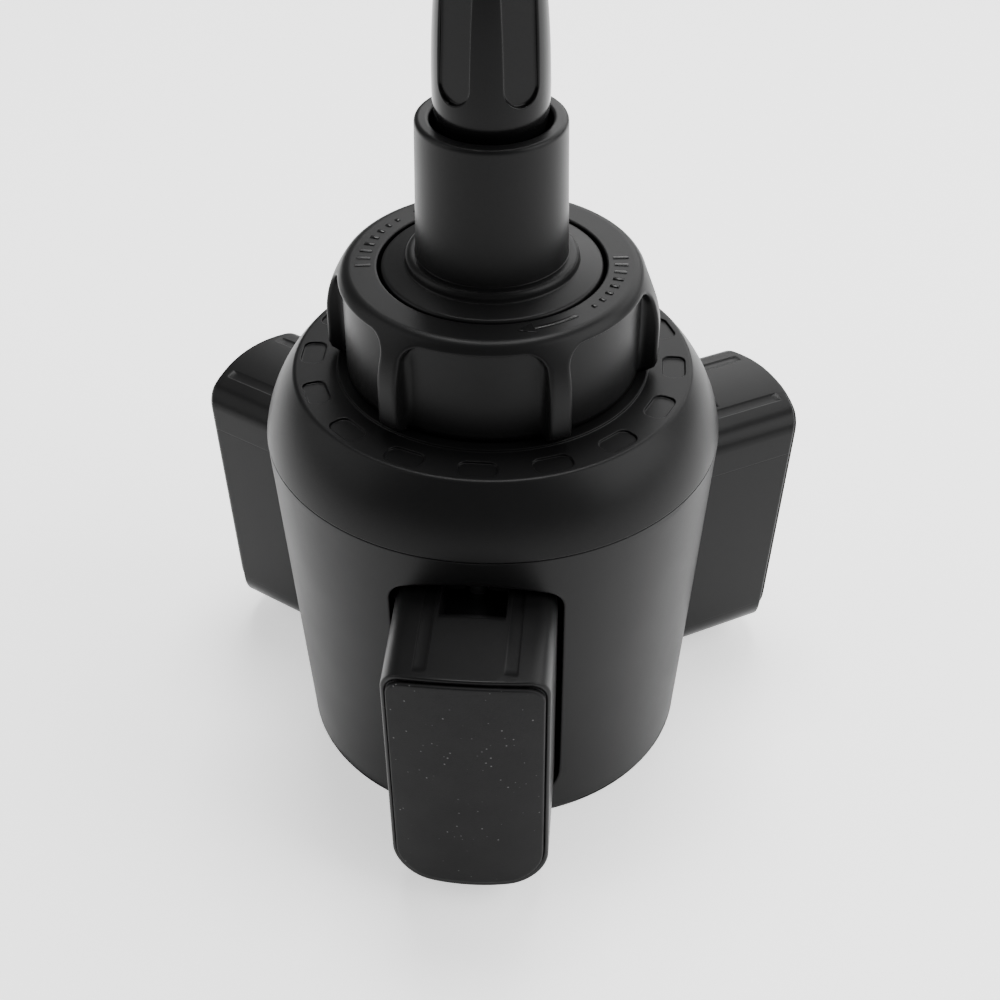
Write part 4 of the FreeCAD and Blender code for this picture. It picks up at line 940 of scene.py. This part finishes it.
class MOUNTBASE_OT_knob(bpy.types.Operator):
    """Build the turning knob with its ribs and finger recesses"""

    bl_idname = "mountbase.knob"
    bl_label = "Knob"

    # Steps along the side, corner and top of a recess, and along the side and top of the
    # frame round it. Both go twice along the side and have the same sum.
    RECESS_STEPS = (14, 10, 20)
    FRAME_STEPS = (19, 30)

    def execute(self, context):
        sizes = context.scene.mount_base.knob
        top_frame = KNOB_TOP - sizes.top_drop
        bm = bmesh.new()
        rest = sizes.rib_turn - math.pi / sizes.ribs
        for index in range(sizes.ribs):
            self.recess_sector(bm, sizes, math.tau * index / sizes.ribs, top_frame)
        lathe(bm, rounded([
            *curve(
                (self.skin(sizes, top_frame), top_frame), (sizes.top_radius, KNOB_TOP),
                (sizes.top_radius - sizes.top_edge, KNOB_TOP), 8),
            (sizes.cup_radius, KNOB_TOP, 0.35 * MM),
            (sizes.cup_radius, sizes.cup_floor, 0.3 * MM),
            (sizes.bore, sizes.cup_floor, 0.0),
        ]), sizes.ribs * self.FRAME_STEPS[1])
        bmesh.ops.rotate(bm, verts=bm.verts[:], cent=(0, 0, 0), matrix=Matrix.Rotation(rest, 3, "Z"))
        seal(bm)
        put(bm, "grip_knob", "turning_knob", "knob_plastic", "knob")
        return {"FINISHED"}

    @staticmethod
    def skin(sizes, z):
        """Radius over the ribs at a height."""
        if z < sizes.rib_low:
            rise = sizes.rib_low - sizes.low
            return bowed(sizes.rib_radius, sizes.under_radius, rise, sizes.rib_low - z)
        if z < sizes.belly:
            return sizes.rib_radius
        return bowed(sizes.rib_radius, sizes.top_radius, KNOB_TOP - sizes.belly, z - sizes.belly)

    def recess_sector(self, bm, sizes, angle, top_frame):
        """One finger recess and half of the rib at each side of it."""
        half_turn = math.pi / sizes.ribs
        half = (half_turn - sizes.rib_angle / 2.0) * sizes.scoop_radius
        floor_top = sizes.scoop_top - 5.0 * MM

        def edge(index, grow):
            u, z = arch(
                index, grow, half, sizes.scoop_corner, sizes.low, sizes.scoop_top,
                self.RECESS_STEPS)
            return u / sizes.scoop_radius, z

        def place(side, z, drop):
            return polar(self.skin(sizes, z) - drop, side + angle, z)

        def hub(index):
            return 0.0, min(edge(index, 0.0)[1], floor_top)

        rows = recess_rows(
            arch_frame(half_turn, sizes.low, top_frame, *self.FRAME_STEPS), edge, place,
            lambda side, z: self.skin(sizes, z) - sizes.scoop_radius,
            sizes.rounding, sizes.fillet, hub)
        fabric(bm, rows)
        rim = [row[0] for row in rows] + [row[-1] for row in reversed(rows)]
        turns = [math.atan2(point.x, -point.y) for point in rim]
        under = [rim]
        for radius, height in (
                (sizes.drum_radius, sizes.low), (sizes.drum_radius, sizes.foot),
                (sizes.bore, sizes.foot)):
            under.append([polar(radius, side, height) for side in turns])
        fabric(bm, under)


class MOUNTBASE_OT_knob_marks(bpy.types.Operator):
    """Raise an arrow and a row of growing ticks on the top of the knob, twice"""

    bl_idname = "mountbase.knob_marks"
    bl_label = "Knob marks"

    def execute(self, context):
        sizes = context.scene.mount_base.knob
        half = (sizes.mark_outer - sizes.mark_inner) / 2.0
        soft = math.radians(0.2)
        bm = bmesh.new()
        for around in (0.0, math.pi):
            tip = around + sizes.arrow_turn
            neck = tip + sizes.arrow_head
            tail = neck + soft + sizes.arrow_shaft
            shaft = [(neck + soft + sizes.arrow_shaft * share, 0.24 * half, 1.0)
                     for share in shares(10)]
            self.ridge(bm, sizes, [
                (tip, 0.02 * half, 0.0), (tip + soft, 0.04 * half, 1.0),
                (neck, 0.86 * half, 1.0), *shaft, (tail + soft, 0.24 * half, 0.0)])
            for index in range(sizes.ticks):
                angle = around + sizes.tick_turn + sizes.tick_step * index
                reach = (0.25 + 0.08 * index) * half
                wide, narrow = sizes.tick_half + soft / 2.0, sizes.tick_half
                self.ridge(bm, sizes, [
                    (angle - wide, reach, 0.0), (angle - narrow, reach, 1.0),
                    (angle + narrow, reach, 1.0), (angle + wide, reach, 0.0)])
        seal(bm)
        put(bm, "knob_marks", "turning_knob", "mark_plastic")
        return {"FINISHED"}

    @staticmethod
    def ridge(bm, sizes, stations):
        """A raised strip; each station is an angle, half its width and its share of the rise."""
        middle = (sizes.mark_outer + sizes.mark_inner) / 2.0
        soft = 0.05 * MM
        rows = []
        for side, lift, inset in (
                (-1, 0.0, 0), (-1, 0.6, 0), (-1, 1.0, 1), (1, 1.0, 1), (1, 0.6, 0), (1, 0.0, 0),
                (1, 0.0, 1), (-1, 0.0, 1), (-1, 0.0, 0)):
            row = []
            for angle, half, share in stations:
                across = side * max(half - inset * soft, 0.3 * half)
                height = KNOB_TOP - 0.02 * MM + sizes.mark_rise * lift * share
                row.append(polar(middle + across, angle, height))
            rows.append(row)
        fabric(bm, rows)


class MOUNTBASE_OT_collar(bpy.types.Operator):
    """Build the collar: its disc, step and tube"""

    bl_idname = "mountbase.collar"
    bl_label = "Collar"

    def execute(self, context):
        sizes = context.scene.mount_base.collar
        disc_low = KNOB_TOP - sizes.disc_thick
        slope_top = KNOB_TOP + sizes.slope
        step_top = slope_top + sizes.step_height
        bead = sizes.step_radius - 0.02 * MM
        bm = bmesh.new()
        lathe(bm, rounded([
            (sizes.socket_radius, sizes.hub_low, 0.0),
            (sizes.hub_radius, sizes.hub_low, 0.2 * MM),
            (sizes.hub_radius, disc_low, 0.2 * MM),
            (sizes.disc_radius, disc_low, 0.3 * MM),
            (sizes.disc_radius, KNOB_TOP, 0.5 * MM),
            (sizes.step_radius + 0.05 * MM, slope_top, 0.22 * MM),
            *curve((bead, slope_top + 0.45 * MM), (bead, step_top), (bead - 1.1 * MM, step_top), 8),
            (sizes.foot_radius, step_top, 0.15 * MM),
            (sizes.rim_radius, COLLAR_TOP, sizes.rim_edge),
            (sizes.mouth_radius, COLLAR_TOP, sizes.mouth_edge),
            (sizes.mouth_radius, sizes.mouth_floor, 0.0),
            (sizes.screw_hole, sizes.mouth_floor, 0.0),
            (sizes.screw_hole, sizes.socket_top, 0.0),
            (sizes.socket_radius, sizes.socket_top, 0.0),
            (sizes.socket_radius, sizes.hub_low, 0.0),
        ]), 144)
        seal(bm)
        put(bm, "collar_tube", "base", "collar_plastic", "collar")
        return {"FINISHED"}


class MOUNTBASE_OT_arm(bpy.types.Operator):
    """Build the lower end of the arm with its long sunk panels"""

    bl_idname = "mountbase.arm"
    bl_label = "Arm"

    # Steps along the side, round end and flat end of a panel, and along the side and end of
    # the frame round it. Both go twice along the side and have the same sum.
    PANEL_STEPS = (22, 12, 0)
    FRAME_STEPS = (22, 24)

    def execute(self, context):
        sizes = context.scene.mount_base.arm
        low_frame = sizes.flute_low - sizes.flute_frame
        steps = sizes.flutes * self.FRAME_STEPS[1]
        bm = bmesh.new()
        for index in range(sizes.flutes):
            self.flute_sector(bm, sizes, math.tau * index / sizes.flutes + sizes.flute_turn, low_frame)
        heights = [sizes.throat_height + (low_frame - sizes.throat_height) * share
                   for share in shares(14)]
        lathe(bm, rounded([
            (0.0, sizes.plug_low, 0.0),
            (sizes.plug_radius, sizes.plug_low, 0.3 * MM),
            (sizes.plug_radius, sizes.plug_top, 0.2 * MM),
            (sizes.throat_radius, sizes.plug_top + 0.5 * MM, 0.1 * MM),
            *[(self.skin(sizes, height), height, 0.0) for height in heights],
        ]), steps)
        end = sizes.shoulder_height - sizes.flute_end + 0.1 * MM
        lathe(bm, rounded([
            (self.skin(sizes, end), end, 0.0),
            (sizes.shoulder_radius, sizes.shoulder_height, 0.1 * MM),
            (sizes.pin_radius, sizes.shoulder_height, 0.1 * MM),
            (sizes.pin_radius, ARM_TOP, 0.4 * MM),
            (0.0, ARM_TOP, 0.0),
        ]), steps)
        seal(bm)
        put(bm, "arm_end", "base", "arm_plastic", "neck")
        return {"FINISHED"}

    @staticmethod
    def skin(sizes, z):
        """Radius of the arm at a height."""
        if z < sizes.belly_height:
            rise = sizes.belly_height - sizes.throat_height
            return bowed(sizes.belly_radius, sizes.throat_radius, rise, sizes.belly_height - z)
        if z < sizes.upper_height:
            rise = sizes.upper_height - sizes.belly_height
            return bowed(sizes.belly_radius, sizes.upper_radius, rise, z - sizes.belly_height)
        share = (z - sizes.upper_height) / (sizes.shoulder_height - sizes.upper_height)
        return sizes.upper_radius + (sizes.shoulder_radius - sizes.upper_radius) * share

    def flute_sector(self, bm, sizes, angle, low_frame):
        """One long sunk panel and the round stem at each side of it."""
        half_turn = math.pi / sizes.flutes
        start = sizes.shoulder_height - sizes.flute_end
        lean = (sizes.belly_radius - sizes.upper_radius) / (sizes.upper_height - sizes.belly_height)

        def edge(index, grow):
            u, z = arch(
                index, grow, sizes.flute_half_width, sizes.flute_half_width, start,
                sizes.flute_low, self.PANEL_STEPS)
            return math.asin(u / self.skin(sizes, z)), z

        def depth(side, z):
            flat = sizes.belly_radius - sizes.flute_depth - lean * (z - sizes.flute_low)
            return self.skin(sizes, z) - flat / math.cos(side)

        def place(side, z, drop):
            return polar(self.skin(sizes, z) - drop, side + angle, z)

        def hub(index):
            return 0.0, max(edge(index, 0.0)[1], sizes.flute_low + 3.0 * MM)

        around = arch_frame(half_turn, start, low_frame, *self.FRAME_STEPS)
        fabric(bm, recess_rows(around, edge, place, depth, sizes.rounding, 0.2 * MM, hub))


# Places of the points on the top of a jaw, in millimetres from its middle. They stand close
# together at the edge of the opening and at both edges of a groove.
TOP_PLACES = (
    0.0, 1.7, 3.3, 4.35, 4.6, 4.75, 4.9, 5.2, 5.42, 5.58, 7.02, 7.18, 7.4, 7.8, 8.4, 9.04)


def jaw_outline(sizes, rim=0.0):
    """The crowned outline of a jaw face, or of the pad inside its rim."""
    return Crowned(
        sizes.half_width - rim, sizes.low + 2.0 * rim, sizes.side_height - rim, sizes.crown,
        sizes.top_corner - rim / 2.0, sizes.low_corner - rim / 2.0,
        [place / TOP_PLACES[-1] for place in TOP_PLACES])


def towards_middle(sizes, spot, share):
    """A place of the face, moved by a share towards the upright line in its middle."""
    low = sizes.low + sizes.half_width
    high = sizes.side_height - sizes.half_width
    return mix(spot, (0.0, min(max(spot[1], low), high)), share)


def face_reach(sizes, cup, x, z, drop):
    """Distance of the jaw face in front of the axis, less a drop, at one place of the face."""
    radius = MOUNTBASE_OT_cup.skin(cup, z) - sizes.face_drop - drop
    return sizes.travel + math.sqrt(radius ** 2 - x ** 2)


def put_on_jaws(rows, name, slot, node):
    """Put the same piece on each of the three jaws, turned to its side."""
    for side, angle in JAW_TURNS.items():
        bm = bmesh.new()
        fabric(bm, rows)
        bmesh.ops.rotate(
            bm, verts=bm.verts[:], cent=(0, 0, 0), matrix=Matrix.Rotation(angle, 3, "Z"))
        seal(bm)
        put(bm, name + side, side + "_jaw", slot, node + side)


class MOUNTBASE_OT_jaws(bpy.types.Operator):
    """Build the three sliding jaws"""

    bl_idname = "mountbase.jaws"
    bl_label = "Jaws"

    def execute(self, context):
        settings = context.scene.mount_base
        outer = self.outer_rows(settings.jaw, settings.cup)
        inner = self.inner_rows(settings.jaw)
        put_on_jaws(inner + outer, "sliding_jaw_", "jaw_plastic", "jaw_")
        return {"FINISHED"}

    @staticmethod
    def outer_rows(sizes, cup):
        """Rings of points from the inner end of a jaw along its outside and over its face."""
        outline = jaw_outline(sizes)
        indices = range(CROWN_COUNT + 1)
        spots = [outline.point(index) for index in indices]
        reach = [face_reach(sizes, cup, x, z, 0.0) for x, z in spots]
        flat_half = 8.6 * MM
        straight = face_reach(sizes, cup, 8.5 * MM, sizes.side_height, 0.0)
        start = sizes.inner_end
        soft = 0.12 * MM
        stops = [
            start, sizes.notch_end - 5.0 * MM, sizes.notch_end - soft, sizes.notch_end + soft,
            sizes.notch_end + 1.0 * MM, sizes.notch_end + 4.0 * MM, sizes.groove_end - 1.0 * MM,
            sizes.groove_end - soft, sizes.groove_end + soft, sizes.groove_end + 0.6 * MM]
        rows = []
        for stop in stops:
            row = []
            for index in indices:
                x, z = spots[index]
                share = min(1.0, (reach[index] - start) / (straight - start))
                on_top = z > sizes.side_height - 1.0 * MM and abs(x) < flat_half
                in_notch = on_top and abs(x) < sizes.notch_half and stop < sizes.notch_end
                aside = abs(abs(x) - sizes.groove_offset)
                in_groove = on_top and aside < sizes.groove_half and stop < sizes.groove_end
                sink = sizes.notch_depth if in_notch else sizes.groove_depth if in_groove else 0.0
                row.append(Vector((x, -(start + (stop - start) * share), z - sink)))
            rows.append(row)
        rounding = sizes.rounding
        for share in shares(6):
            row = []
            for index in indices:
                x, z = outline.point(index, -rounding * share ** 2)
                front = face_reach(sizes, cup, x, z, rounding * (1.0 - share) ** 2)
                row.append(Vector((x, -front, z)))
            rows.append(row)
        pad = jaw_outline(sizes, sizes.pad_rim)
        gap, line = sizes.pad_gap, sizes.pad_line
        for grow, share, drop in (
                (gap, 0.0, 0.0), (0.8 * gap, 0.0, line), (-0.8 * gap, 0.0, line), (-gap, 0.0, 0.0),
                (-gap, 0.1, 0.0), (-gap, 0.3, 0.0), (-gap, 0.55, 0.0), (-gap, 0.8, 0.0),
                (-gap, 1.0, 0.0)):
            row = []
            for index in indices:
                x, z = towards_middle(sizes, pad.point(index, grow), share)
                row.append(Vector((x, -face_reach(sizes, cup, x, z, drop), z)))
            rows.append(row)
        return rows

    @staticmethod
    def inner_rows(sizes):
        """Rings of points over the floor of the hollow in the inner end and up to its mouth."""
        outline = jaw_outline(sizes)
        floor = sizes.inner_end + sizes.floor_depth
        rows = []
        for share, reach in (
                (1.0, floor), (0.6, floor), (0.25, floor), (0.0, floor), (0.0, sizes.inner_end)):
            row = []
            for index in range(CROWN_COUNT + 1):
                x, z = towards_middle(sizes, outline.point(index, -sizes.wall), share)
                row.append(Vector((x, -reach, z)))
            rows.append(row)
        return rows


class MOUNTBASE_OT_grip_pads(bpy.types.Operator):
    """Build the rubber pads on the faces of the jaws"""

    bl_idname = "mountbase.grip_pads"
    bl_label = "Grip pads"

    def execute(self, context):
        settings = context.scene.mount_base
        sizes = settings.jaw
        outline = jaw_outline(sizes, sizes.pad_rim)
        soft = sizes.pad_rounding

        def layer(grow, share, rise):
            row = []
            for index in range(CROWN_COUNT + 1):
                x, z = towards_middle(sizes, outline.point(index, grow), share)
                row.append(Vector((x, -face_reach(sizes, settings.cup, x, z, -rise), z)))
            return row

        rows = [layer(0.0, share, 0.0) for share in (1.0, 0.7, 0.4, 0.15, 0.0)]
        rows += [layer(-soft * share ** 2, 0.0, sizes.pad_thick - soft * (1.0 - share) ** 2)
                 for share in shares(6)]
        rows += [layer(-soft, share, sizes.pad_thick)
                 for share in (0.04, 0.12, 0.22, 0.34, 0.48, 0.62, 0.76, 0.9, 1.0)]
        put_on_jaws(rows, "rubber_pad_", "grip_rubber", "grip_pad_")
        return {"FINISHED"}


class MOUNTBASE_OT_finishes(bpy.types.Operator):
    """Mix the materials and give the inner pieces theirs"""

    bl_idname = "mountbase.finishes"
    bl_label = "Finishes"

    def execute(self, context):
        look = context.scene.mount_base.finish
        jaw = context.scene.mount_base.jaw
        moulded("shell_plastic", look.shell, look.shell_roughness, look.sheen)
        moulded("cap_plastic", look.shell, look.shell_roughness - 0.04, look.sheen)
        moulded("knob_plastic", look.knob, look.knob_roughness, look.sheen)
        polished("mark_plastic", look.knob, look.knob_roughness - 0.12, 2.0 * look.sheen)
        moulded("collar_plastic", look.collar, look.collar_roughness, look.sheen)
        polished("arm_plastic", look.arm, look.arm_roughness, look.sheen)
        moulded("jaw_plastic", look.jaw, look.jaw_roughness, look.sheen,
                [(jaw.top_line, 5.0), (jaw.low_line, 2.5)])
        rubbery("grip_rubber", look.rubber, look.rubber_roughness, look.sheen)
        moulded("inner_plastic", look.inner, 0.5, 2.0 * look.sheen)
        metallic("pin_steel", look.steel, 0.3)
        metallic("screw_steel", look.zinc, 0.42)
        slots = {part["node"]: part["material_slot"] for part in frame["record"]["subparts"]}
        for name, item in frame["nodes"].items():
            item.data.materials.clear()
            item.data.materials.append(material(slots[name]))
        return {"FINISHED"}


class MOUNTBASE_OT_studio(bpy.types.Operator):
    """Set up the floor, the soft lights and the camera"""

    bl_idname = "mountbase.studio"
    bl_label = "Studio"

    # Each soft light: its side, its place and its size.
    LIGHTS = (
        ("left", (-0.62, -0.1, 0.42), (0.6, 0.6)),
        ("right", (0.62, -0.1, 0.42), (0.6, 0.6)),
        ("top", (0.0, 0.22, 0.8), (0.34, 0.34)),
        ("back", (0.5, 1.0, 0.72), (1.7, 0.8)),
    )
    AIM = (0.0, 0.0, 0.06)
    FLOOR_HALF = 6.0

    def execute(self, context):
        studio = context.scene.mount_base.studio
        bm = bmesh.new()
        bmesh.ops.create_grid(bm, x_segments=8, y_segments=8, size=self.FLOOR_HALF)
        mesh = bpy.data.meshes.new("floor")
        bm.to_mesh(mesh)
        bm.free()
        floor = bpy.data.objects.new("floor", mesh)
        context.scene.collection.objects.link(floor)
        mesh.materials.append(paper("studio_paper", studio.paper, studio.glow))
        floor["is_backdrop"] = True
        world = bpy.data.worlds.new("room")
        world.use_nodes = True
        room = world.node_tree.nodes["Background"]
        room.inputs["Color"].default_value = (1.0, 1.0, 1.0, 1.0)
        room.inputs["Strength"].default_value = studio.surround
        context.scene.world = world
        for side, spot, size in self.LIGHTS:
            self.light(context, side + "_light", spot, size, getattr(studio, side + "_power"))
        data = bpy.data.cameras.new("photo_camera")
        data.lens = studio.lens
        data.sensor_width = 36.0
        camera = bpy.data.objects.new("photo_camera", data)
        context.scene.collection.objects.link(camera)
        around = Matrix.Rotation(studio.heading, 4, "Z")
        spot = Matrix.Translation((studio.aside, -studio.distance, studio.height))
        swing = Matrix.Rotation(studio.swing, 4, "Z")
        look = Matrix.Rotation(math.pi / 2 - studio.pitch, 4, "X")
        tip = Matrix.Rotation(studio.roll, 4, "Z")
        camera.matrix_world = around @ spot @ swing @ look @ tip
        context.scene.camera = camera
        return {"FINISHED"}

    def light(self, context, name, spot, size, power):
        """Place a soft area light that looks at the middle of the object."""
        data = bpy.data.lights.new(name, "AREA")
        data.shape = "RECTANGLE"
        data.size, data.size_y = size
        data.energy = power
        lamp = bpy.data.objects.new(name, data)
        context.scene.collection.objects.link(lamp)
        towards = (Vector(self.AIM) - Vector(spot)).to_track_quat("-Z", "Y")
        lamp.matrix_world = Matrix.Translation(spot) @ towards.to_matrix().to_4x4()


STEPS = (
    MOUNTBASE_OT_finishes, MOUNTBASE_OT_studio, MOUNTBASE_OT_cup, MOUNTBASE_OT_cap,
    MOUNTBASE_OT_knob, MOUNTBASE_OT_knob_marks, MOUNTBASE_OT_collar, MOUNTBASE_OT_arm,
    MOUNTBASE_OT_jaws, MOUNTBASE_OT_grip_pads,
)


class MOUNTBASE_PT_panel(bpy.types.Panel):
    """Lists the steps that build the base"""

    bl_idname = "MOUNTBASE_PT_panel"
    bl_label = "Mount Base"
    bl_space_type = "VIEW_3D"
    bl_region_type = "UI"
    bl_category = "Mount Base"

    def draw(self, context):
        for step in STEPS:
            self.layout.operator(step.bl_idname)


CLASSES = (
    CupSizes, CapSizes, KnobSizes, CollarSizes, ArmSizes, JawSizes, Finishes, Studio,
    MountBaseSettings, *STEPS, MOUNTBASE_PT_panel,
)


def register():
    for item in CLASSES:
        bpy.utils.register_class(item)
    bpy.types.Scene.mount_base = bpy.props.PointerProperty(
        type=MountBaseSettings, name="Mount base", description="Settings of the base")


def unregister():
    del bpy.types.Scene.mount_base
    for item in reversed(CLASSES):
        bpy.utils.unregister_class(item)


def corners(bounds):
    """The two corners of a box as plain lists."""
    return [[float(value) for value in corner] for corner in bounds]


def main():
    register()
    solid_box = corners(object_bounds())
    for step in STEPS:
        group, name = step.bl_idname.split(".")
        getattr(getattr(bpy.ops, group), name)()
    {"solid": solid_box, "dressed": corners(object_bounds())}


if __name__ == "__main__":
    main()
